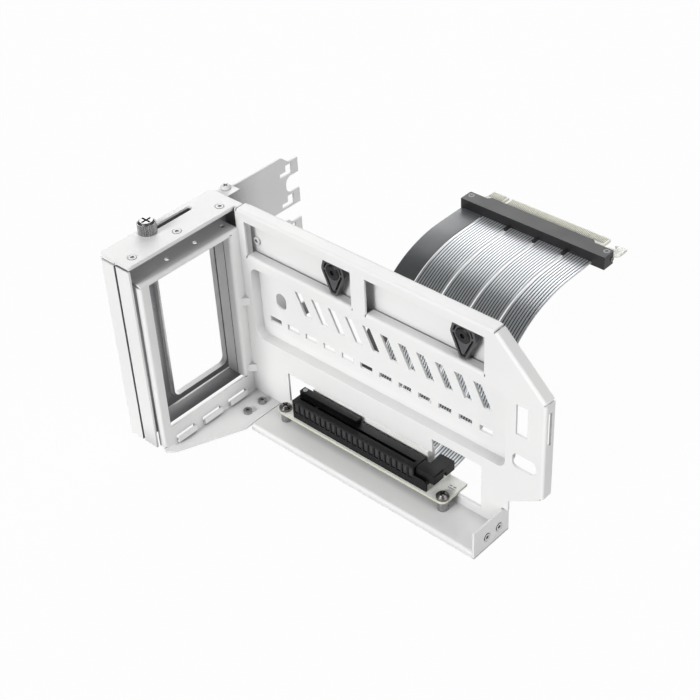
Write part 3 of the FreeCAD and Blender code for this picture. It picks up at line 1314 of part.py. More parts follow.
def plug_screws():
    """Two screws that close the plug."""
    screws = []
    for x, y in plug_screw_places():
        head_z = PLUG_TOP_Z - PLUG_SCREW_HEAD_HEIGHT
        head = rod(PLUG_SCREW_HEAD_R, (x, y, head_z), "z", PLUG_SCREW_HEAD_HEIGHT)
        shank = prism(SHANK_SIDES, SMALL_SHANK_R, (x, y), "z", PLUG_LOW_Z, head_z)
        top = (x, y, PLUG_TOP_Z)
        recess = cross_recess(top, PLUG_RECESS_LENGTH / 2, PLUG_RECESS_WIDTH, PLUG_RECESS_DEPTH)
        screws.append(joined([head, shank]).cut(recess))
    return screws


def finger_spans():
    """Ends of the two finger groups of the edge board."""
    key = FINGER_X + FINGER_SHORT
    return [(FINGER_X, key), (key + FINGER_NOTCH, key + FINGER_NOTCH + FINGER_LONG)]


def plug_board():
    """Edge board of the plug with its key notch and the retention hook."""
    levels = (PLUG_SPLIT_Z, PLUG_SPLIT_Z + PLUG_BOARD_SHEET)
    short, long = finger_spans()
    front = CABLE_END_Y + PLUG_SCREW_INSET * 2
    inside = (PLUG_X[0] + 2 * PLUG_SCREW_INSET, PLUG_X[1] - 2 * PLUG_SCREW_INSET)
    root = PLUG_REAR_Y + PLUG_SWELL
    pieces = [block(inside, (front, root), levels)]
    edge = PLUG_BOARD_END_Y
    blade = [
        (short[0], root - BLADE_LAP, 0),
        (long[1], root - BLADE_LAP, 0),
        (long[1], edge, BLADE_ROUND),
        (short[0], edge, BLADE_ROUND),
    ]
    pieces.append(panel(blade, "z", *levels))
    hook_x = (long[1] + HOOK_GAP, long[1] + HOOK_GAP + HOOK_WIDE)
    hook_y = PLUG_REAR_Y + HOOK_ROOT
    hook = [
        (long[1] + HOOK_THROAT, root - BLADE_LAP, 0),
        (hook_x[1] - HOOK_THROAT, root - BLADE_LAP, 0),
        (hook_x[1], root, 0),
        (hook_x[1], edge - HOOK_THROAT, 0),
        (hook_x[0], edge - HOOK_THROAT, 0),
        (hook_x[0], hook_y, 0),
        (hook_x[0] + HOOK_LIP, hook_y, 0),
        (hook_x[0] + HOOK_LIP, hook_y - HOOK_THROAT, 0),
        (long[1] + HOOK_THROAT, hook_y - HOOK_THROAT, 0),
    ]
    pieces.append(panel(hook, "z", *levels))
    notch = block((short[1], long[0]), (edge - FINGER_NOTCH_DEPTH, edge + 1), levels)
    return joined(pieces).cut(notch)


def plug_fingers():
    """Gold contact fields on the upper face of the edge board, one on each side of its notch."""
    low = PLUG_SPLIT_Z + PLUG_BOARD_SHEET
    rear = PLUG_BOARD_END_Y - PAD_SETBACK
    levels = ((rear - PAD_LENGTH, rear), (low, low + PAD_SHEET))
    return [block((start + PAD_SIDE, end - PAD_SIDE), *levels) for start, end in finger_spans()]


NODES = {
    "case_bracket": case_bracket(),
    "screw_angle": screw_angle(),
    "case_nut": case_nut(),
    "stop_screw": stop_screw(),
    "corner_screw": corner_screw(),
    "thumb_screw": thumb_screw(),
    "top_plate": top_plate(),
    "top_plate_screws": Part.Compound(top_plate_screws()),
    "slide_plate": slide_plate(),
    "io_frame": io_frame(),
    "back_plate": back_plate(),
    "rear_rail": rear_rail(),
    "rail_rivets": Part.Compound(rail_rivets()),
    "clip_left": clip(CLIP_X[0]),
    "clip_right": clip(CLIP_X[1]),
    "clip_knob_left": clip_knob(CLIP_X[0]),
    "clip_knob_right": clip_knob(CLIP_X[1]),
    "base_plate": base_plate(),
    "base_end_plate": base_end_plate(),
    "base_end_screws": Part.Compound(base_end_screws()),
    "foot_studs": Part.Compound(foot_studs()),
    "board_standoffs": Part.Compound(board_standoffs()),
    "board_screws": Part.Compound(board_screws()),
    "connector_board": connector_board(),
    "slot_housing": slot_housing(),
    "slot_contacts": Part.Compound(slot_contacts()),
    "slot_latch": slot_latch(),
    "ribbon_clamp": ribbon_clamp(),
    "ribbon_plain": flat_cable(PLAIN_CABLE_X),
    "plug_cover": plug_cover(),
    "plug_base": plug_base(),
    "plug_screws": Part.Compound(plug_screws()),
    "plug_board": plug_board(),
    "plug_fingers": Part.Compound(plug_fingers()),
}
for number, span in enumerate(RIBBED_CABLES_X, start=1):
    NODES[f"ribbon_{number}"] = flat_cable(span)

print("cable arc radii:", ", ".join(f"{radius:.1f}" for radius in cable_path()[1]))
os.makedirs("parts", exist_ok=True)
for name, shape in NODES.items():
    shape.translate(ORIGIN * -1)
    shape.exportStep(f"parts/{name}.step")
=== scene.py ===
"""White folded-steel mount that holds a graphics card upright, dressed for a studio picture.

The folded sheets, most fasteners, the clips and the plug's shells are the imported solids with
finished surfaces. The flat cables, the gold contacts, the sunk screw heads and the small trim on
the slot, the board, the plug and the clips are modelled here.
"""

import logging
import math
from dataclasses import dataclass, replace
from enum import Enum
from typing import Any, Iterable, Sequence

import bpy
from mathutils import Matrix, Vector


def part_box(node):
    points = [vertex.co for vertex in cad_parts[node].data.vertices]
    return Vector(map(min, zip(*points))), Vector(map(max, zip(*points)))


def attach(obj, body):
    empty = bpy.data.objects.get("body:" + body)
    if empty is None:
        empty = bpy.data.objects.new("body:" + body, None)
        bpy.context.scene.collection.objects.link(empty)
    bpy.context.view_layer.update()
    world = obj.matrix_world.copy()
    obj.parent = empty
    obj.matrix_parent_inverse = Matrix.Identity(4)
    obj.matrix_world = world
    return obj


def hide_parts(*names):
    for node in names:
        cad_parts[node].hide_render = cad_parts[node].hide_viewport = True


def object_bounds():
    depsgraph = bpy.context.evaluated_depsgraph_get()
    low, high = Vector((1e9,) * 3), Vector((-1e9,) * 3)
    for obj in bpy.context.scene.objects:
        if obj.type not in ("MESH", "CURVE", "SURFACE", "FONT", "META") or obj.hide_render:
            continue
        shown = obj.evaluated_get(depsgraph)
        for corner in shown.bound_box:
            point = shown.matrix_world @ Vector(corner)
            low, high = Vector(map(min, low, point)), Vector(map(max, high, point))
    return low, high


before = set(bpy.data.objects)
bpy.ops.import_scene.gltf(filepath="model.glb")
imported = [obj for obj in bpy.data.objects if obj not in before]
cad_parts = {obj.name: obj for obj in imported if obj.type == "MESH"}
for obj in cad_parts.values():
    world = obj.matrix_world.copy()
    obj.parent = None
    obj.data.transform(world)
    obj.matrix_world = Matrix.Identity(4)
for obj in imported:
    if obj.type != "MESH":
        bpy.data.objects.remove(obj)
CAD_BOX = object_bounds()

LOG = logging.getLogger("card_mount")
MM = 0.001
UP = (0.0, 0.0, 1.0)
RIGHT = (1.0, 0.0, 0.0)
WHITE = "#FFFFFF"
# Width inwards and rise of each step in a turned face
Steps = tuple[tuple[float, float], ...]
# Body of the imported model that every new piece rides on
CARRIAGE = "carriage"

# Noise values between which the colour drifts to its tint, and the roughness from low to high
DRIFT_SPAN = (0.35, 0.75)
SHEEN_SPAN = (0.3, 0.7)
# Layers of noise in the soft patches and in the fine grain
PATCH_DETAIL = 3.0
GRAIN_DETAIL = 2.0
# Rays that look for a near edge, and for near walls
EDGE_RAYS = 4
WALL_RAYS = 8
# Socket numbers of the mix node for colours, which gives several sockets the same name
MIX_SHARE, MIX_FIRST, MIX_SECOND, MIX_RESULT = 0, 6, 7, 2

# Faces round a turned head, round the oval of a ring and along the ring
HEAD_SIDES = 24
OVAL_SIDES = 10
RING_SIDES = 32
# Faces over the rounded edge of a small block
EDGE_STEPS = 2
# Cosine above which a face counts as looking along a head's axis
TOP_COSINE = 0.9
# Distance in metres within which points are welded
WELD = 1e-6
# Angle in degrees up to which neighbouring faces are shaded as one
SMOOTH_ANGLE = 35.0


class Slot(Enum):
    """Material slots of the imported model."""

    BOARD = "white_board"
    GOLD = "gold_contact"
    RIBBON = "grey_ribbon"
    CLIP = "clip_plastic"
    SOCKET = "slot_plastic"
    STEEL = "plain_steel"
    SCREW = "white_screw"


def linear(code: str) -> tuple[float, float, float, float]:
    """Turn an sRGB hex colour into linear light.

    Args:
        code: Colour such as "#F2F2F0".

    Returns:
        Linear red, green and blue with an alpha of 1.
    """
    parts = [int(code[start:start + 2], 16) / 255 for start in (1, 3, 5)]
    light = [part / 12.92 if part <= 0.04045 else ((part + 0.055) / 1.055) ** 2.4 for part in parts]
    return (light[0], light[1], light[2], 1.0)


def add_node(tree: bpy.types.NodeTree, kind: str, settings: dict[str, Any] | None = None,
             inputs: dict[Any, Any] | None = None) -> bpy.types.Node:
    """Add a shader node, set its properties and fill or link its inputs.

    Args:
        tree: Node tree that gets the node.
        kind: Blender's type name of the node.
        settings: Properties of the node by name.
        inputs: Input sockets by name or number, each with a value or an output socket to link from.

    Returns:
        The new node.
    """
    node = tree.nodes.new(kind)
    for name, value in (settings or {}).items():
        setattr(node, name, value)
    for socket, value in (inputs or {}).items():
        if isinstance(value, bpy.types.NodeSocket):
            tree.links.new(value, node.inputs[socket])
        else:
            node.inputs[socket].default_value = value
    return node


def blend(tree: bpy.types.NodeTree, share: bpy.types.NodeSocket, plain: str,
          painted: bpy.types.NodeSocket) -> bpy.types.NodeSocket:
    """Mix a plain colour with a painted one.

    Args:
        tree: Node tree of the material.
        share: Share of the painted colour, from 0 to 1.
        plain: sRGB hex colour that fills the rest.
        painted: The painted colour.

    Returns:
        The mixed colour.
    """
    mixed = add_node(tree, "ShaderNodeMix", {"data_type": "RGBA"}, {
        MIX_SHARE: share, MIX_FIRST: linear(plain), MIX_SECOND: painted})
    return mixed.outputs[MIX_RESULT]


def per_metre(size_mm: float) -> float:
    """Texture scale whose features are about this many millimetres across."""
    return 1.0 / (size_mm * MM)


def span_mm(node: str) -> tuple[float, float]:
    """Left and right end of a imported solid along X, in millimetres to a hundredth."""
    low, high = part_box(node)
    return (round(low[0] / MM, 2), round(high[0] / MM, 2))


def in_metres(steps_mm: Steps) -> Steps:
    """Turn steps in millimetres into metres."""
    return tuple((width * MM, rise * MM) for width, rise in steps_mm)


@dataclass(frozen=True)
class Finish:
    """A surface: its shader's plain values and the size of its fine grain.

    Attributes:
        name: Common name of the material and how it was made.
        colour: Main sRGB colour.
        tint: Second sRGB colour that the main one drifts to in large soft patches.
        roughness: Lowest and highest roughness of the patches.
        metallic: Share of bare metal in the look, from 0 to 1.
        specular: Specular level of the shader.
        grain_mm: Size of the fine grain.
        grain_depth_mm: Height of the fine grain.
        patch_mm: Size of the soft patches.
        edge_mm: Radius that rounds the look of sharp edges.
    """

    name: str
    colour: str
    tint: str
    roughness: tuple[float, float]
    metallic: float = 0.0
    specular: float = 0.5
    grain_mm: float = 0.5
    grain_depth_mm: float = 0.01
    patch_mm: float = 30.0
    edge_mm: float = 0.25

    def material(self) -> bpy.types.Material:
        """Build the material once and return it."""
        made = bpy.data.materials.get(self.name)
        if made:
            return made
        made = bpy.data.materials.new(self.name)
        made.use_nodes = True
        tree = made.node_tree
        tree.nodes.clear()
        shader = add_node(tree, "ShaderNodeBsdfPrincipled", inputs={
            "Metallic": self.metallic, "Specular IOR Level": self.specular})
        add_node(tree, "ShaderNodeOutputMaterial", inputs={"Surface": shader.outputs["BSDF"]})
        place = add_node(tree, "ShaderNodeTexCoord").outputs["Object"]
        noise = add_node(tree, "ShaderNodeTexNoise", inputs={
            "Vector": place, "Scale": per_metre(self.patch_mm), "Detail": PATCH_DETAIL})
        patches = noise.outputs["Fac"]
        tree.links.new(self.paint(tree, patches), shader.inputs["Base Color"])
        rough = add_node(tree, "ShaderNodeMapRange", inputs={
            "Value": patches, "From Min": SHEEN_SPAN[0], "From Max": SHEEN_SPAN[1],
            "To Min": self.roughness[0], "To Max": self.roughness[1]})
        tree.links.new(rough.outputs["Result"], shader.inputs["Roughness"])
        tree.links.new(self.relief(tree, place), shader.inputs["Normal"])
        return made

    def paint(self, tree: bpy.types.NodeTree,
              patches: bpy.types.NodeSocket) -> bpy.types.NodeSocket:
        """Colour the surface: the main colour drifts to the tint in soft patches.

        Args:
            tree: Node tree of the material.
            patches: Soft noise from 0 to 1.

        Returns:
            The colour.
        """
        ramp = add_node(tree, "ShaderNodeValToRGB", inputs={"Fac": patches})
        stops = zip(ramp.color_ramp.elements, DRIFT_SPAN, (self.colour, self.tint))
        for stop, share, code in stops:
            stop.position = share
            stop.color = linear(code)
        return ramp.outputs["Color"]

    def relief(self, tree: bpy.types.NodeTree,
               place: bpy.types.NodeSocket) -> bpy.types.NodeSocket:
        """Raise the fine grain over softly rounded edges.

        Args:
            tree: Node tree of the material.
            place: Object coordinates.

        Returns:
            The direction that the grained surface looks in.
        """
        rounded = add_node(tree, "ShaderNodeBevel", {"samples": EDGE_RAYS}, {
            "Radius": self.edge_mm * MM})
        grain = add_node(tree, "ShaderNodeTexNoise", inputs={
            "Vector": place, "Scale": per_metre(self.grain_mm), "Detail": GRAIN_DETAIL})
        bump = add_node(tree, "ShaderNodeBump", inputs={
            "Height": grain.outputs["Fac"], "Distance": self.grain_depth_mm * MM,
            "Strength": 1.0, "Normal": rounded.outputs["Normal"]})
        return bump.outputs["Normal"]


@dataclass(frozen=True)
class ShadedCoatFinish(Finish):
    """Paint with painted shade: full colour on open faces, darker deep inside folds and sockets.

    Attributes:
        thin: sRGB colour of the painted shade, where walls close in most.
        reach_mm: Distance within which a facing wall darkens the colour with painted shade.
        shade_span: Openness from 0 to 1 at which the painted shade is full, and at which it is
            gone.
        inner: Direction that a face has to look in to take the painted shade, or None for any.
    """

    # Painted shade: its colour, the reach of the walls that cast it, and the openness over which it
    # fades
    thin: str = "#B4B4B5"
    reach_mm: float = 30.0
    shade_span: tuple[float, float] = (0.2, 0.6)
    inner: tuple[float, float, float] | None = None

    def paint(self, tree: bpy.types.NodeTree,
              patches: bpy.types.NodeSocket) -> bpy.types.NodeSocket:
        """Colour the coat, with painted shade by how far walls close in on the surface."""
        colour = super().paint(tree, patches)
        # Painted shade: ambient occlusion darkens the colour towards the thin colour where walls
        # close in
        openness = add_node(tree, "ShaderNodeAmbientOcclusion", {"samples": WALL_RAYS}, {
            "Distance": self.reach_mm * MM})
        cover = add_node(tree, "ShaderNodeMapRange", inputs={
            "Value": openness.outputs["AO"], "From Min": self.shade_span[0],
            "From Max": self.shade_span[1]}).outputs["Result"]
        if self.inner is not None:
            normal = add_node(tree, "ShaderNodeNewGeometry").outputs["True Normal"]
            inward = add_node(tree, "ShaderNodeVectorMath", {"operation": "DOT_PRODUCT"}, {
                0: normal, 1: self.inner})
            outward = add_node(tree, "ShaderNodeMath", {"operation": "SUBTRACT"}, {
                0: 1.0, 1: inward.outputs["Value"]})
            cover = add_node(tree, "ShaderNodeMath", {"operation": "MAXIMUM", "use_clamp": True}, {
                0: cover, 1: outward.outputs[0]}).outputs[0]
        return blend(tree, cover, self.thin, colour)


@dataclass(frozen=True)
class BoardFinish(Finish):
    """Printed circuit board: coated faces, with the bare laminate at its cut edges.

    Attributes:
        edge: sRGB colour of the cut laminate.
    """

    edge: str = "#CBCDBB"

    def paint(self, tree: bpy.types.NodeTree,
              patches: bpy.types.NodeSocket) -> bpy.types.NodeSocket:
        """Coat the flat faces and leave the edges bare, by the way that a face looks."""
        normal = add_node(tree, "ShaderNodeNewGeometry").outputs["True Normal"]
        split = add_node(tree, "ShaderNodeSeparateXYZ", inputs={"Vector": normal})
        upright = add_node(tree, "ShaderNodeMath", {"operation": "ABSOLUTE"}, {
            0: split.outputs["Z"]})
        return blend(tree, upright.outputs[0], self.edge, super().paint(tree, patches))


@dataclass(frozen=True)
class RibbedFinish(Finish):
    """Cable jacket over a row of wires: light crests and painted shade in the valleys, by a mark on
    each point.

    Attributes:
        valley: sRGB colour of the painted shade between two wires.
        attribute: Name of the point attribute that is 0 in a valley and 1 on a crest.
        seam: Attribute values between which the valley's colour gives way to the crest's.
    """

    valley: str = "#2A2D31"
    attribute: str = "crest"
    seam: tuple[float, float] = (0.45, 0.85)

    def paint(self, tree: bpy.types.NodeTree,
              patches: bpy.types.NodeSocket) -> bpy.types.NodeSocket:
        """Colour the crests, paint shade into the valleys, and add a slight drift along the cable.
        """
        crest = add_node(tree, "ShaderNodeAttribute", {"attribute_name": self.attribute})
        step = add_node(tree, "ShaderNodeMapRange", inputs={
            "Value": crest.outputs["Fac"], "From Min": self.seam[0], "From Max": self.seam[1]})
        # Painted shade: the valleys between the wires take the dark valley colour
        return blend(tree, step.outputs["Result"], self.valley, super().paint(tree, patches))


# Powder-coated steel: baked paint that flows out to a faint orange peel and a soft satin sheen;
# painted shade greys it in recesses
SHADED_POWDER_COAT = ShadedCoatFinish(
    "powder_coat_with_painted_recess_shade", "#E9E9E8", "#E5E5E5", (0.42, 0.52), grain_mm=0.9, grain_depth_mm=0.012,
    patch_mm=60.0)
# The same coat inside the deep box of the carriage, with darker painted shade where the folds close
# in
BOX_SHADED_COAT = replace(
    SHADED_POWDER_COAT, name="deep_box_powder_coat_with_painted_shade", thin="#808082", reach_mm=45.0,
    shade_span=(0.35, 0.75))
# The same coat on the case bracket: full outside, with dark painted shade on its inner faces in the
# box
BRACKET_SHADED_COAT = replace(
    SHADED_POWDER_COAT, name="bracket_powder_coat_with_painted_shade", thin="#6E6E70", reach_mm=40.0,
    shade_span=(0.7, 0.93), inner=RIGHT)
# The same coat on the end plate, with painted shade that darkens the countersunk seats into dark
# rings
END_SHADED_COAT = replace(
    SHADED_POWDER_COAT, name="end_plate_powder_coat_with_painted_seat_shade", thin="#5A5A5C", reach_mm=2.0, shade_span=(0.35, 0.9))
# Painted screw steel: thinner, glossier paint that looks a little greyer, with painted shade in the
# sockets
SCREW_PAINT_AND_SHADE = ShadedCoatFinish(
    "screw_paint_with_painted_socket_shade", "#DCDCDC", "#D0D0D1", (0.3, 0.42), grain_mm=0.6, grain_depth_mm=0.006,
    patch_mm=3.0, thin="#1C1C1D", reach_mm=2.0, shade_span=(0.35, 0.75))
# Nickel-plated steel: bright metal, with turning marks too fine to see as more than a soft sheen
NICKEL = Finish(
    "nickel_plated_steel", "#A6A6A7", "#8E8E90", (0.22, 0.38), metallic=1.0, grain_mm=0.25,
    grain_depth_mm=0.006, patch_mm=2.0, edge_mm=0.15)
# Zinc-plated steel of the plug's screws: a dull grey that hardly mirrors
ZINC = Finish(
    "zinc_plated_steel", "#7C7D7F", "#6E6F71", (0.4, 0.5), metallic=0.3, grain_mm=0.2,
    grain_depth_mm=0.006, patch_mm=1.5, edge_mm=0.1)
# Black nickel on the board's screws: dark, warm metal whose rounded edges catch the light
BLACK_NICKEL = Finish(
    "black_nickel_steel", "#8A8785", "#6E6C6B", (0.24, 0.4), metallic=1.0, grain_mm=0.3,
    grain_depth_mm=0.008, patch_mm=2.5, edge_mm=0.15)
# Moulded nylon of the clips: spark-eroded tool texture that breaks up a dull sheen
CLIP_NYLON = Finish(
    "moulded_grey_nylon", "#434345", "#4B4B4D", (0.4, 0.55), grain_mm=0.35, grain_depth_mm=0.012,
    patch_mm=8.0)
# Black nylon of the clips' knobs: the same moulding in a deep black, a little glossier
KNOB_NYLON = Finish(
    "moulded_black_nylon", "#0D0D0E", "#141416", (0.32, 0.46), specular=0.4, grain_mm=0.35,
    grain_depth_mm=0.008, patch_mm=5.0)
# Soft rubber of the knobs' grip rings: a matt, dusty black
GRIP_RUBBER = Finish(
    "moulded_black_rubber", "#242426", "#2B2B2D", (0.6, 0.72), specular=0.3, grain_mm=0.25,
    grain_depth_mm=0.01, patch_mm=2.0, edge_mm=0.1)
# Glass-filled polyester of the card slot: smoother moulding with a satin sheen on its ribs
SLOT_POLYESTER = Finish(
    "moulded_black_polyester", "#070708", "#0C0C0D", (0.36, 0.5), specular=0.22, grain_mm=0.3,
    grain_depth_mm=0.006, patch_mm=10.0)
# Backs of the contact bays: a paler, matt grey of painted light, for the light the bays catch
# behind the black ribs
BAY_POLYESTER_PAINTED_LIGHT = Finish(
    "bay_polyester_with_painted_light", "#333335", "#3B3B3D", (0.5, 0.62), specular=0.35, grain_mm=0.3,
    grain_depth_mm=0.01, patch_mm=3.0)
# Natural grey nylon of the pin in the slot's raised wall: a pale, dull spot on the black
PIN_NYLON = Finish(
    "turned_grey_nylon", "#9C9C9E", "#929294", (0.4, 0.5), grain_mm=0.3, grain_depth_mm=0.008,
    patch_mm=3.0)
# Legend ink on the board: a thin matt grey print
LEGEND_INK = Finish(
    "screen_printed_ink", "#8F8F8C", "#999996", (0.55, 0.65), grain_mm=0.2, grain_depth_mm=0.002,
    patch_mm=2.0, edge_mm=0.02)
# Moulded shell of the plug: dark grey that looks lighter on top, where its sheen catches the light
PLUG_SHELL = Finish(
    "moulded_grey_shell", "#232324", "#28282A", (0.36, 0.46), specular=0.34, grain_mm=0.4,
    grain_depth_mm=0.006, patch_mm=15.0)
# White solder mask on glass laminate: a thin glassy coat, with greenish laminate at the cut edges
WHITE_BOARD = BoardFinish(
    "white_solder_mask_laminate", "#F1F1EC", "#E9EAE4", (0.25, 0.35), grain_mm=0.8,
    grain_depth_mm=0.006, patch_mm=12.0)
# Cream solder mask of the edge board: a warmer, duller coat with a pale cut edge
CREAM_BOARD = BoardFinish(
    "cream_solder_mask_laminate", "#E2E2DB", "#DCDCD4", (0.28, 0.4), grain_mm=0.8,
    grain_depth_mm=0.006, patch_mm=12.0, edge="#E4E4DA")
# Electroplated gold on nickel: warm bright metal with a fine satin grain
GOLD_PLATE = Finish(
    "electroplated_gold", "#CFC6A6", "#C6BC98", (0.34, 0.46), metallic=1.0, grain_mm=0.2,
    grain_depth_mm=0.003, patch_mm=2.0, edge_mm=0.05)
# Thin flash gold on the edge fingers: the nickel below greys it, and wear dulls its shine
FLASH_GOLD = Finish(
    "flash_gold_on_nickel", "#8D8C80", "#858478", (0.4, 0.5), metallic=1.0, grain_mm=0.2,
    grain_depth_mm=0.003, patch_mm=2.0, edge_mm=0.05)
# Foil-shielded wires: silver foil that mirrors the light above it, with painted shade in the seams
# between them
RIBBED_JACKET = RibbedFinish(
    "foil_shielded_ribbon_with_painted_valley_shade", "#D2D5D8", "#C9CCD0", (0.3, 0.36), metallic=0.55, grain_mm=0.4,
    grain_depth_mm=0.004, patch_mm=25.0, edge_mm=0.05)
# Plain dark vinyl of the strip that shows no wires: calendered smooth, with a broad soft sheen
PLAIN_JACKET = Finish(
    "plain_vinyl_jacket", "#5A5C5F", "#525457", (0.34, 0.44), specular=0.7, grain_mm=0.5,
    grain_depth_mm=0.006, patch_mm=20.0, edge_mm=0.1)
# Natural white nylon of the cable clamp: a slightly waxy, off-white moulding
CLAMP_NYLON = Finish(
    "moulded_white_nylon", "#F2F2EF", "#EAEAE6", (0.4, 0.5), grain_mm=0.5, grain_depth_mm=0.01,
    patch_mm=10.0)

NODE_FINISHES: dict[str, Finish] = {
    "case_bracket": BRACKET_SHADED_COAT, "screw_angle": SHADED_POWDER_COAT, "case_nut": NICKEL,
    "stop_screw": SCREW_PAINT_AND_SHADE, "corner_screw": SCREW_PAINT_AND_SHADE, "thumb_screw": NICKEL,
    "top_plate": SHADED_POWDER_COAT, "top_plate_screws": SCREW_PAINT_AND_SHADE, "slide_plate": BOX_SHADED_COAT,
    "io_frame": SHADED_POWDER_COAT, "back_plate": SHADED_POWDER_COAT, "rear_rail": SHADED_POWDER_COAT,
    "rail_rivets": SCREW_PAINT_AND_SHADE, "clip_left": CLIP_NYLON, "clip_right": CLIP_NYLON,
    "clip_knob_left": KNOB_NYLON, "clip_knob_right": KNOB_NYLON, "base_plate": SHADED_POWDER_COAT,
    "base_end_plate": END_SHADED_COAT, "base_end_screws": SCREW_PAINT_AND_SHADE, "foot_studs": NICKEL,
    "board_standoffs": NICKEL, "board_screws": BLACK_NICKEL, "connector_board": WHITE_BOARD,
    "slot_housing": SLOT_POLYESTER, "slot_contacts": GOLD_PLATE, "slot_latch": SLOT_POLYESTER,
    "ribbon_clamp": CLAMP_NYLON, "ribbon_plain": PLAIN_JACKET, "ribbon_1": RIBBED_JACKET,
    "ribbon_2": RIBBED_JACKET, "ribbon_3": RIBBED_JACKET, "ribbon_4": RIBBED_JACKET,
    "plug_cover": PLUG_SHELL, "plug_base": PLUG_SHELL, "plug_screws": ZINC,
    "plug_board": CREAM_BOARD, "plug_fingers": FLASH_GOLD,
}


def dress(piece: bpy.types.Object, finish: Finish) -> None:
    """Give every material slot of a piece one finish.

    Args:
        piece: Mesh object.
        finish: Its finish.
    """
    made = finish.material()
    if not piece.material_slots:
        piece.data.materials.append(made)
    for slot in piece.material_slots:
        slot.material = made


def pick(piece: bpy.types.Object) -> None:
    """Deselect everything, then select one piece and make it active."""
    bpy.ops.object.select_all(action="DESELECT")
    piece.select_set(True)
    bpy.context.view_layer.objects.active = piece


def finish_mesh(piece: bpy.types.Object, angle: float = SMOOTH_ANGLE) -> None:
    """Apply a piece's place and shade it smooth up to an angle in degrees."""
    pick(piece)
    bpy.ops.object.transform_apply(location=True, rotation=True, scale=True)
    bpy.ops.object.shade_smooth_by_angle(angle=math.radians(angle))


def apply_modifier(piece: bpy.types.Object, kind: str, **settings: Any) -> None:
    """Add a modifier with its settings and apply it.

    Args:
        piece: Mesh object.
        kind: Blender's type of the modifier.
        settings: Its properties.
    """
    pick(piece)
    modifier = piece.modifiers.new(kind.title(), kind)
    for name, value in settings.items():
        setattr(modifier, name, value)
    bpy.ops.object.modifier_apply(modifier=modifier.name)


def add_box(name: str, low: Sequence[float], high: Sequence[float]) -> bpy.types.Object:
    """Add a box between two corners.

    Args:
        name: Name of the new piece.
        low: Lowest corner in metres.
        high: Highest corner in metres.

    Returns:
        The new piece, with its place in its mesh.
    """
    bpy.ops.object.select_all(action="DESELECT")
    middle = [(first + last) / 2 for first, last in zip(low, high)]
    bpy.ops.mesh.primitive_cube_add(size=1.0, location=middle)
    piece = bpy.context.active_object
    piece.name = name
    piece.scale = [last - first for first, last in zip(low, high)]
    bpy.ops.object.transform_apply(location=True, rotation=True, scale=True)
    return piece


def add_row(name: str, low: Sequence[float], high: Sequence[float], rounding: float, count: int,
            pitch: float) -> bpy.types.Object:
    """Model one small block with rounded edges and repeat it along X.

    Args:
        name: Name of the new piece.
        low: Lowest corner of the first block in metres.
        high: Highest corner of the first block in metres.
        rounding: Width of the rounded edges in metres.
        count: Number of blocks.
        pitch: Spacing in metres.

    Returns:
        The new piece.
    """
    row = add_box(name, low, high)
    apply_modifier(row, "BEVEL", width=rounding, segments=EDGE_STEPS, limit_method="ANGLE")
    apply_modifier(row, "ARRAY", count=count, use_relative_offset=False, use_constant_offset=True,
                   constant_offset_displace=(pitch, 0.0, 0.0))
    return row


def join(pieces: Sequence[bpy.types.Object], name: str) -> bpy.types.Object:
    """Join pieces into one with a new name.

    Args:
        pieces: Mesh objects.
        name: Name of the whole.

    Returns:
        The joined piece.
    """
    pick(pieces[0])
    for piece in pieces[1:]:
        piece.select_set(True)
    bpy.ops.object.join()
    whole = bpy.context.active_object
    whole.name = name
    return whole


def add_disc(name: str, foot: Sequence[float], towards: Sequence[float], radius: float,
             height: float, steps: Steps) -> bpy.types.Object:
    """Turn a round head and step its face in or out.

    Args:
        name: Name of the new piece.
        foot: Middle of its foot in metres.
        towards: Direction that its face looks in.
        radius: Radius in metres.
        height: Height of the rim in metres.
        steps: Each step's width inwards and rise in metres.

    Returns:
        The new piece.
    """
    bpy.ops.object.select_all(action="DESELECT")
    facing = Vector(towards)
    bpy.ops.mesh.primitive_cylinder_add(
        vertices=HEAD_SIDES, radius=radius, depth=height,
        location=Vector(foot) + facing * height / 2,
        rotation=facing.to_track_quat("Z", "Y").to_euler())
    piece = bpy.context.active_object
    piece.name = name
    bpy.ops.object.transform_apply(location=True, rotation=True, scale=True)
    bpy.ops.object.mode_set(mode="EDIT")
    bpy.ops.mesh.select_mode(type="FACE")
    bpy.ops.mesh.select_all(action="DESELECT")
    bpy.ops.object.mode_set(mode="OBJECT")
    for face in piece.data.polygons:
        face.select = face.normal.dot(facing) > TOP_COSINE
    bpy.ops.object.mode_set(mode="EDIT")
    for width, rise in steps:
        bpy.ops.mesh.inset(thickness=width, depth=rise)
    bpy.ops.object.mode_set(mode="OBJECT")
    return piece


def add_ring(name: str, middle: Sequence[float], radius: float, width: float,
             height: float) -> bpy.types.Object:
    """Spin a small oval about a line along Y.

    Args:
        name: Name of the new piece.
        middle: Middle of the ring in metres.
        radius: Radius of the ring in metres.
        width: Width of the oval across the ring in metres.
        height: Height of the oval along Y in metres.

    Returns:
        The new piece.
    """
    bpy.ops.object.select_all(action="DESELECT")
    bpy.ops.mesh.primitive_circle_add(vertices=OVAL_SIDES, radius=0.5,
                                      location=(middle[0] + radius, middle[1], middle[2]))
    piece = bpy.context.active_object
    piece.name = name
    piece.scale = (width, height, 1.0)
    bpy.ops.object.transform_apply(location=True, rotation=True, scale=True)
    bpy.ops.object.mode_set(mode="EDIT")
    bpy.ops.mesh.select_all(action="SELECT")
    bpy.ops.mesh.spin(steps=RING_SIDES, angle=2 * math.pi, center=middle, axis=(0.0, 1.0, 0.0))
    bpy.ops.mesh.select_all(action="SELECT")
    bpy.ops.mesh.remove_doubles(threshold=WELD)
    bpy.ops.mesh.normals_make_consistent(inside=False)
    bpy.ops.object.mode_set(mode="OBJECT")
    return piece


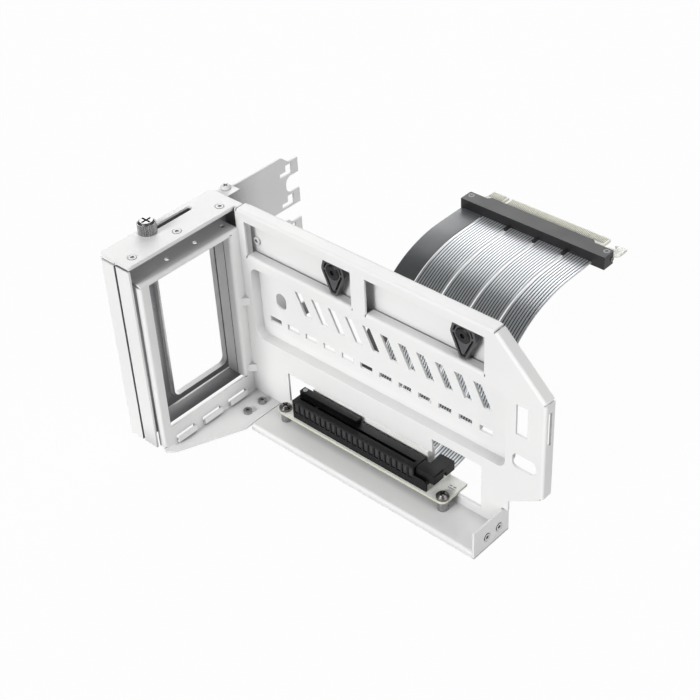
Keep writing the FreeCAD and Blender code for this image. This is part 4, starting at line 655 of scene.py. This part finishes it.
def settle(piece: bpy.types.Object, finish: Finish,
           stands_for: str | None = None) -> bpy.types.Object:
    """Finish a piece of the carriage: shade it, dress it and say what it belongs to.

    Args:
        piece: The new piece.
        finish: Its finish.
        stands_for: Solid that it replaces, if any.

    Returns:
        The same piece.
    """
    finish_mesh(piece)
    dress(piece, finish)
    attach(piece, CARRIAGE)
    if stands_for:
        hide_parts(stands_for)
    return piece


@dataclass(frozen=True)
class FlatCable:
    """One strip of the riser cable.

    Attributes:
        node: Solid that the strip stands for, and that gives its width and place.
        wires: Number of ridges across it, or 0 for a plain strip.
    """

    node: str
    wires: int

    def width(self) -> float:
        """Width in metres."""
        left, right = span_mm(self.node)
        return (right - left) * MM

    def middle(self) -> float:
        """Middle along X in metres."""
        left, right = span_mm(self.node)
        return (left + right) / 2 * MM


@dataclass
class RiserCable:
    """Flat cables that rise from the board's rear edge to the edge plug.

    Attributes:
        route_mm: Control points of the route as (Y, Z).
        order: Order of the smooth line along the route.
        resolution: Steps of that line for each control point.
        thickness_mm: Height of a strip at its crests.
        valley_mm: Height of a strip between two crests and at its edges.
        arc_steps: Faces over the top of one ridge.
        ridge_power: Exponent that rounds the ridge over a wire.
        plain_power: Exponent that flattens a plain strip up to its rounded edges.
        smooth_angle: Angle in degrees up to which a strip's faces are shaded as one.
        cables: The strips from left to right.
        plug_pieces: Pieces of the plug on the far end; not used.
    """

    route_mm: tuple[tuple[float, float], ...] = (
        (52.0, -50.6), (60.8, -50.6), (70.6, -47.3), (78.8, -41.1), (88.9, -25.9),
        (106.3, -1.5), (124.2, 11.6), (145.0, 17.9), (162.5, 18.4), (178.0, 18.4))
    order: int = 3
    resolution: int = 10
    thickness_mm: float = 0.9
    valley_mm: float = 0.55
    arc_steps: int = 6
    ridge_power: float = 0.5
    plain_power: float = 0.12
    smooth_angle: float = 60.0
    cables: tuple[FlatCable, ...] = (
        FlatCable("ribbon_plain", 0), FlatCable("ribbon_1", 11), FlatCable("ribbon_2", 11),
        FlatCable("ribbon_3", 11), FlatCable("ribbon_4", 9))
    plug_pieces: tuple[str, ...] = (
        "plug_cover", "plug_base", "plug_screws", "plug_board", "edge_fingers", "plug_end_insert")

    def centreline(self, x: float) -> list[Vector]:
        """Read the smooth line of the route at one place along X.

        Args:
            x: Place along X in metres.

        Returns:
            Points along the line from the board to the plug.
        """
        curve = bpy.data.curves.new("cable_route", "CURVE")
        curve.dimensions = "3D"
        spline = curve.splines.new("NURBS")
        spline.points.add(len(self.route_mm) - 1)
        for point, (y, z) in zip(spline.points, self.route_mm):
            point.co = (x, y * MM, z * MM, 1.0)
        spline.order_u = self.order
        spline.use_endpoint_u = True
        spline.resolution_u = self.resolution
        holder = bpy.data.objects.new("cable_route", curve)
        bpy.context.collection.objects.link(holder)
        bpy.context.view_layer.update()
        graph = bpy.context.evaluated_depsgraph_get()
        line = bpy.data.meshes.new_from_object(holder.evaluated_get(graph))
        points = [vertex.co.copy() for vertex in line.vertices]
        bpy.data.objects.remove(holder)
        bpy.data.meshes.remove(line)
        bpy.data.curves.remove(curve)
        return points

    def profile(self, cable: FlatCable) -> list[tuple[float, float, float]]:
        """Outline of a strip across its width, once round.

        Args:
            cable: The strip.

        Returns:
            Places across and up in metres, each with its crest value from 0 to 1.
        """
        half = cable.width() / 2
        crest = self.thickness_mm * MM / 2
        valley = self.valley_mm * MM / 2
        wires = cable.wires or 1
        power = self.ridge_power if cable.wires else self.plain_power
        pitch = cable.width() / wires
        top: list[tuple[float, float, float]] = [(-half, valley, 1.0)]
        for step in range(1, wires * self.arc_steps):
            share = step / self.arc_steps
            rise = abs(math.sin(math.pi * share)) ** power
            top.append((-half + pitch * share, valley + (crest - valley) * rise, rise))
        top.append((half, valley, 1.0))
        bottom = [(across, -height, rise) for across, height, rise in reversed(top)]
        return top + bottom

    def strip(self, cable: FlatCable) -> bpy.types.Object:
        """Sweep one strip along the route.

        Args:
            cable: The strip.

        Returns:
            The finished piece.
        """
        path = self.centreline(cable.middle())
        outline = self.profile(cable)
        across = Vector(RIGHT)
        points: list[Vector] = []
        for index, middle in enumerate(path):
            before = path[max(index - 1, 0)]
            after = path[min(index + 1, len(path) - 1)]
            up = across.cross(after - before).normalized()
            points += [middle + across * side + up * height for side, height, _ in outline]
        count = len(outline)
        faces: list[tuple[int, ...]] = []
        for ring in range(len(path) - 1):
            for side in range(count):
                turn = (side + 1) % count
                first, second = ring * count, (ring + 1) * count
                faces.append((first + side, second + side, second + turn, first + turn))
        faces.append(tuple(range(count)))
        faces.append(tuple(reversed(range((len(path) - 1) * count, len(path) * count))))
        mesh = bpy.data.meshes.new(cable.node + "_strip")
        mesh.from_pydata(points, [], faces)
        marks = mesh.attributes.new(RIBBED_JACKET.attribute, "FLOAT", "POINT")
        marks.data.foreach_set("value", [rise for _ in path for _, _, rise in outline])
        piece = bpy.data.objects.new(cable.node + "_strip", mesh)
        bpy.context.collection.objects.link(piece)
        finish_mesh(piece, self.smooth_angle)
        self.declare(piece, cable)
        return piece

    def declare(self, piece: bpy.types.Object, cable: FlatCable) -> None:
        """Dress a strip, hang it on the carriage and hide the solid that it stands for.

        Args:
            piece: The strip.
            cable: Its sizes.
        """
        dress(piece, RIBBED_JACKET if cable.wires else PLAIN_JACKET)
        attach(piece, CARRIAGE)
        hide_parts(cable.node)

    def build(self) -> list[bpy.types.Object]:
        """Build every strip and return them."""
        return [self.strip(cable) for cable in self.cables]


@dataclass
class Contacts:
    """Gold contacts: the fingers of the edge board and the springs in the card slot's mouth.

    Attributes:
        pitch_mm: Spacing of the contacts.
        rounding_mm: Width of their rounded edges.
        finger_mm: Width of a finger.
        finger_key_mm: Edges of the gap between the finger fields, from the left end.
        spring_mm: Width of a spring.
        spring_key_mm: Edges of the slot's key, which has no springs, from the left end.
        spring_inset_mm: Distance from a stretch's end to its first spring.
        spring_reach: Share of the way from a wall to the middle that a spring fills.
    """

    pitch_mm: float = 1.0
    rounding_mm: float = 0.05
    finger_mm: float = 0.7
    finger_key_mm: tuple[float, float] = (10.05, 13.55)
    spring_mm: float = 0.6
    spring_key_mm: tuple[float, float] = (10.3, 13.3)
    spring_inset_mm: float = 0.2
    spring_reach: float = 0.55

    def stretches(self, node: str, key_mm: tuple[float, float]) -> tuple[tuple[float, float], ...]:
        """Find the two stretches of contacts, left and right of the key.

        Args:
            node: Solid that the contacts stand for.
            key_mm: Edges of the key from the solid's left end.

        Returns:
            Start and end of each stretch along X in millimetres.
        """
        left, right = span_mm(node)
        return ((left, left + key_mm[0]), (left + key_mm[1], right))

    def row(self, name: str, low: Sequence[float], high: Sequence[float],
            count: int) -> bpy.types.Object:
        """Model the contact between two corners in metres, and repeat it at the contacts' pitch."""
        return add_row(name, low, high, self.rounding_mm * MM, count, self.pitch_mm * MM)

    def fingers(self) -> bpy.types.Object:
        """Model one finger with rounded edges, and repeat it over both fields."""
        low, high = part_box("plug_fingers")
        rows = []
        for start, end in self.stretches("plug_fingers", self.finger_key_mm):
            count = int((end - start) / self.pitch_mm)
            left = start + (end - start - (count - 1) * self.pitch_mm - self.finger_mm) / 2
            corner = (left * MM, low[1], low[2])
            across = ((left + self.finger_mm) * MM, high[1], high[2])
            rows.append(self.row(f"finger_row_{len(rows)}", corner, across, count))
        return settle(join(rows, "edge_fingers"), FLASH_GOLD, "plug_fingers")

    def springs(self) -> bpy.types.Object:
        """Model one spring, and repeat it along both walls of the mouth on each side of the key."""
        low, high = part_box("slot_contacts")
        middle = (low[1] + high[1]) / 2
        rows = []
        for start, end in self.stretches("slot_contacts", self.spring_key_mm):
            left = start + self.spring_inset_mm
            count = int((end - start) / self.pitch_mm)
            for wall in (low[1], high[1]):
                inner = wall + (middle - wall) * self.spring_reach
                corner = (left * MM, min(wall, inner), low[2])
                across = ((left + self.spring_mm) * MM, max(wall, inner), high[2])
                rows.append(self.row(f"spring_row_{len(rows)}", corner, across, count))
        return settle(join(rows, "slot_springs"), GOLD_PLATE, "slot_contacts")

    def build(self) -> list[bpy.types.Object]:
        """Build the fingers and the springs and return them."""
        return [self.fingers(), self.springs()]


@dataclass(frozen=True)
class HeadSize:
    """Sizes of a sunk screw head.

    Attributes:
        gap_mm: Width of the gap between the head and its seat.
        socket_mm: Radius and depth of the drive socket.
    """

    gap_mm: float
    socket_mm: tuple[float, float]


@dataclass
class SunkScrews:
    """Flat screw heads that sit in countersunk seats, with a thin gap round each.

    Attributes:
        cover: Sizes of the heads in the cover plate.
        end: Sizes of the heads in the base's end plate.
        depth_mm: Height of a head below the surface.
        rim_mm: Width of the rounded rim.
    """

    cover: HeadSize = HeadSize(0.4, (1.05, 0.6))
    end: HeadSize = HeadSize(0.9, (1.1, 0.8))
    depth_mm: float = 0.9
    rim_mm: float = 0.12

    def head(self, name: str, face: Sequence[float], towards: Sequence[float],
             seat: float, size: HeadSize) -> bpy.types.Object:
        """Turn one head and sink its socket.

        Args:
            name: Name of the new piece.
            face: Middle of the head's face in metres.
            towards: Direction that the face looks in.
            seat: Radius of the seat in metres.
            size: Sizes of the head.

        Returns:
            The new piece.
        """
        radius = seat - size.gap_mm * MM
        rim = self.rim_mm * MM
        depth = self.depth_mm * MM
        foot = Vector(face) - Vector(towards) * depth
        inner = radius - rim - size.socket_mm[0] * MM
        steps = ((rim, rim), (inner, 0.0), (0.0, -size.socket_mm[1] * MM))
        return add_disc(name, foot, towards, radius, depth - rim, steps)

    def cover_heads(self) -> bpy.types.Object:
        """Seat the three screws of the cover plate."""
        low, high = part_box("top_plate_screws")
        seat = (high[0] - low[0]) / 2
        ends = (low[1] + seat, high[1] - seat)
        heads = []
        for index, y in enumerate((ends[0], sum(ends) / 2, ends[1])):
            face = (low[0] + seat, y, high[2])
            heads.append(self.head(f"cover_head_{index}", face, UP, seat, self.cover))
        return settle(join(heads, "cover_screw_heads"), SCREW_PAINT_AND_SHADE, "top_plate_screws")

    def end_heads(self) -> bpy.types.Object:
        """Seat the two screws of the base's end plate."""
        low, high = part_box("base_end_screws")
        seat = (high[2] - low[2]) / 2
        heads = []
        for index, y in enumerate((low[1] + seat, high[1] - seat)):
            face = (high[0], y, low[2] + seat)
            heads.append(self.head(f"end_head_{index}", face, RIGHT, seat, self.end))
        return settle(join(heads, "end_screw_heads"), SCREW_PAINT_AND_SHADE, "base_end_screws")

    def build(self) -> list[bpy.types.Object]:
        """Build the heads and return them."""
        return [self.cover_heads(), self.end_heads()]


@dataclass
class SmallTrim:
    """Small moulded and printed detail on the slot, the board, the plug and the clips.

    Attributes:
        bay_inset_mm: Distance from the slot's left end to the first bay in its front.
        bay_mm: Width of a bay's back, and its foot and top above the slot's foot.
        bay_count: Number of bays.
        bay_pitch_mm: Spacing of the bays.
        bay_depth_mm: Depth of a bay, and thickness of its paler back of painted light.
        bay_rounding_mm: Width of the rounded edges of a bay's back.
        pin_place_mm: Middle of the pin, from the slot's left end and its front.
        pin_mm: Radius and height of the pin.
        pin_steps_mm: Steps in the pin's top.
        insert_place_mm: Middle of the plug's insert, from the rear and the top of its base.
        insert_mm: Radius and height of the insert.
        insert_steps_mm: Steps in the insert's face.
        ring_mm: Radius, width and height of the ring on a knob.
        legend_mm: Left, right, front and rear edge of each printed mark, from the board's right
            edge and its rear edge.
        ink_mm: Thickness of the print.
        ink_rounding_mm: Width of the rounded edges of the print.
    """

    bay_inset_mm: float = 1.1
    bay_mm: tuple[float, float, float] = (2.895, 4.4, 10.8)
    bay_count: int = 22
    bay_pitch_mm: float = 3.9955
    bay_depth_mm: tuple[float, float] = (0.9, 0.3)
    bay_rounding_mm: float = 0.08
    pin_place_mm: tuple[float, float] = (2.4, 8.6)
    pin_mm: tuple[float, float] = (1.35, 0.3)
    pin_steps_mm: Steps = ((0.2, 0.08), (0.35, -0.05))
    insert_place_mm: tuple[float, float] = (3.9, 0.1)
    insert_mm: tuple[float, float] = (1.3, 0.5)
    insert_steps_mm: Steps = ((0.35, 0.1), (0.2, 0.0), (0.0, -0.4))
    ring_mm: tuple[float, float, float] = (2.75, 0.7, 0.5)
    legend_mm: tuple[tuple[float, float, float, float], ...] = (
        (6.6, 2.3, 8.4, 7.9), (6.6, 5.0, 6.8, 6.1), (4.2, 2.3, 6.8, 6.1))
    ink_mm: float = 0.05
    ink_rounding_mm: float = 0.02

    def bays(self) -> bpy.types.Object:
        """Line the backs of the bays in the slot's front with a paler grey of painted light."""
        low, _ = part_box("slot_housing")
        back = low[1] + self.bay_depth_mm[0] * MM
        left = low[0] + self.bay_inset_mm * MM
        width, foot, top = self.bay_mm
        corner = (left, back - self.bay_depth_mm[1] * MM, low[2] + foot * MM)
        across = (left + width * MM, back, low[2] + top * MM)
        row = add_row("slot_bay_backs", corner, across, self.bay_rounding_mm * MM, self.bay_count,
                      self.bay_pitch_mm * MM)
        return settle(row, BAY_POLYESTER_PAINTED_LIGHT)

    def pin(self) -> bpy.types.Object:
        """Set the round pin into the top of the slot's raised wall."""
        low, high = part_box("slot_housing")
        foot = (low[0] + self.pin_place_mm[0] * MM, low[1] + self.pin_place_mm[1] * MM, high[2])
        radius, height = (size * MM for size in self.pin_mm)
        disc = add_disc("slot_end_pin", foot, UP, radius, height, in_metres(self.pin_steps_mm))
        return settle(disc, PIN_NYLON)

    def insert(self) -> bpy.types.Object:
        """Set the metal insert into the plug's right end."""
        _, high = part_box("plug_base")
        forward, down = (size * MM for size in self.insert_place_mm)
        foot = (high[0], high[1] - forward, high[2] - down)
        radius, height = (size * MM for size in self.insert_mm)
        steps = in_metres(self.insert_steps_mm)
        disc = add_disc("plug_end_insert", foot, RIGHT, radius, height, steps)
        return settle(disc, NICKEL)

    def rings(self) -> list[bpy.types.Object]:
        """Put the grip ring on each knob's face."""
        radius, width, height = (size * MM for size in self.ring_mm)
        made = []
        for side in ("left", "right"):
            low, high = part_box(f"clip_knob_{side}")
            middle = ((low[0] + high[0]) / 2, low[1], (low[2] + high[2]) / 2)
            ring = add_ring(f"knob_ring_{side}", middle, radius, width, height)
            made.append(settle(ring, GRIP_RUBBER))
        return made

    def legend(self) -> bpy.types.Object:
        """Print plain marks on the board's free end."""
        _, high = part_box("connector_board")
        marks = []
        for index, (left, right, front, rear) in enumerate(self.legend_mm):
            corner = (high[0] - left * MM, high[1] - front * MM, high[2])
            across = (high[0] - right * MM, high[1] - rear * MM, high[2] + self.ink_mm * MM)
            mark = add_row(f"mark_{index}", corner, across, self.ink_rounding_mm * MM, 1, 0.0)
            marks.append(mark)
        return settle(join(marks, "board_legend"), LEGEND_INK)

    def build(self) -> list[bpy.types.Object]:
        """Build every small piece and return them."""
        return [self.bays(), self.pin(), self.insert(), *self.rings(), self.legend()]


@dataclass(frozen=True)
class Lamp:
    """A broad lamp, far from the object.

    Attributes:
        name: Name of the lamp.
        towards: Direction from the object to the lamp.
        strength: Strength of its light.
        spread: Angle in degrees that it fills as seen from the object.
    """

    name: str
    towards: tuple[float, float, float]
    strength: float
    spread: float


@dataclass
class Studio:
    """Pale floor, soft light and the camera of the picture.

    Attributes:
        floor_size: Side of the floor in metres.
        floor_colour: sRGB colour of the floor's paper in the lamps' light.
        floor_glow: Share of plain white that the camera sees in place of the lit paper.
        camera_place: Camera position in metres.
        camera_right: Camera's own right in the model's frame.
        camera_up: Camera's own up.
        camera_back: Direction from the object to the camera.
        lens_mm: Focal length.
        sensor_mm: Sensor width.
        fill: Strength of the light from all round.
        lamps: A strong lamp in front, and weaker ones at the right and behind.
    """

    floor_size: float = 6.0
    floor_colour: str = "#BEBEBE"
    floor_glow: float = 0.97
    camera_place: tuple[float, float, float] = (0.54335, -0.39986, 0.48560)
    camera_right: tuple[float, float, float] = (0.7403, 0.6708, -0.0457)
    camera_up: tuple[float, float, float] = (-0.3837, 0.4773, 0.7906)
    camera_back: tuple[float, float, float] = (0.5521, -0.5677, 0.6107)
    lens_mm: float = 75.54
    sensor_mm: float = 36.0
    fill: float = 0.1
    lamps: tuple[Lamp, ...] = (
        Lamp("front_light", (-0.06, -0.9, 0.43), 2.6, 20.0),
        Lamp("right_light", (0.9, -0.1, 0.42), 1.35, 30.0),
        Lamp("rear_light", (-0.5, 0.55, 0.67), 1.2, 52.0),
        Lamp("back_light", (-0.62, 0.74, 0.26), 1.0, 40.0))

    def floor(self) -> None:
        """Lay a white floor under the object that keeps a trace of its shadow."""
        bpy.ops.object.select_all(action="DESELECT")
        bpy.ops.mesh.primitive_plane_add(size=self.floor_size, location=(0.0, 0.0, CAD_BOX[0][2]))
        piece = bpy.context.active_object
        piece.name = "studio_floor"
        bpy.ops.object.transform_apply(location=True, rotation=True, scale=True)
        # White paper: all but white to the camera, with a trace of the object's shadow
        made = bpy.data.materials.new("white_paper_floor")
        made.use_nodes = True
        tree = made.node_tree
        tree.nodes.clear()
        path = add_node(tree, "ShaderNodeLightPath")
        seen = add_node(tree, "ShaderNodeMath", {"operation": "MAXIMUM"}, {
            0: path.outputs["Is Camera Ray"], 1: path.outputs["Is Glossy Ray"]})
        share = add_node(tree, "ShaderNodeMath", {"operation": "MULTIPLY"}, {
            0: seen.outputs[0], 1: self.floor_glow})
        paper = add_node(tree, "ShaderNodeBsdfDiffuse", inputs={"Color": linear(self.floor_colour)})
        glow = add_node(tree, "ShaderNodeEmission", inputs={
            "Color": linear(WHITE), "Strength": 1.0})
        mixed = add_node(tree, "ShaderNodeMixShader", inputs={
            0: share.outputs[0], 1: paper.outputs[0], 2: glow.outputs[0]})
        add_node(tree, "ShaderNodeOutputMaterial", inputs={"Surface": mixed.outputs[0]})
        piece.data.materials.append(made)

    def surroundings(self) -> None:
        """Light the object evenly from all round, with a white background for the camera."""
        world = bpy.data.worlds.new("studio")
        bpy.context.scene.world = world
        world.use_nodes = True
        tree = world.node_tree
        tree.nodes.clear()
        path = add_node(tree, "ShaderNodeLightPath")
        seen = add_node(tree, "ShaderNodeMath", {"operation": "MAXIMUM"}, {
            0: path.outputs["Is Camera Ray"], 1: path.outputs["Is Transmission Ray"]})
        soft = add_node(tree, "ShaderNodeBackground", inputs={
            "Color": linear(WHITE), "Strength": self.fill})
        white = add_node(tree, "ShaderNodeBackground", inputs={
            "Color": linear(WHITE), "Strength": 1.0})
        mixed = add_node(tree, "ShaderNodeMixShader", inputs={
            0: seen.outputs[0], 1: soft.outputs[0], 2: white.outputs[0]})
        add_node(tree, "ShaderNodeOutputWorld", inputs={"Surface": mixed.outputs[0]})

    def lights(self) -> None:
        """Hang the lamps."""
        for lamp in self.lamps:
            light = bpy.data.lights.new(lamp.name, "SUN")
            light.energy = lamp.strength
            light.angle = math.radians(lamp.spread)
            holder = bpy.data.objects.new(lamp.name, light)
            holder.rotation_euler = Vector(lamp.towards).to_track_quat("Z", "Y").to_euler()
            bpy.context.collection.objects.link(holder)

    def camera(self) -> None:
        """Set the camera where the picture was taken from."""
        data = bpy.data.cameras.new("picture_camera")
        data.lens = self.lens_mm
        data.sensor_width = self.sensor_mm
        holder = bpy.data.objects.new("picture_camera", data)
        turn = Matrix((self.camera_right, self.camera_up, self.camera_back)).transposed().to_4x4()
        holder.matrix_world = Matrix.Translation(Vector(self.camera_place)) @ turn
        bpy.context.collection.objects.link(holder)
        bpy.context.scene.camera = holder

    def build(self) -> None:
        """Build the whole studio."""
        bpy.context.scene.view_settings.view_transform = "Standard"
        self.floor()
        self.surroundings()
        self.lights()
        self.camera()


def dress_nodes(nodes: Iterable[str]) -> None:
    """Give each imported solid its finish.

    Args:
        nodes: Names of the solids.
    """
    for name in nodes:
        dress(bpy.data.objects[name], NODE_FINISHES[name])


def main() -> None:
    """Dress the solids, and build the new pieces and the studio."""
    logging.basicConfig(level=logging.INFO, format="%(name)s: %(message)s")
    dress_nodes(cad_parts)
    for assembly in (Contacts(), SunkScrews(), SmallTrim(), RiserCable()):
        for piece in assembly.build():
            LOG.info("built %s with %d faces", piece.name, len(piece.data.polygons))
    Studio().build()


if __name__ == "__main__":
    main()
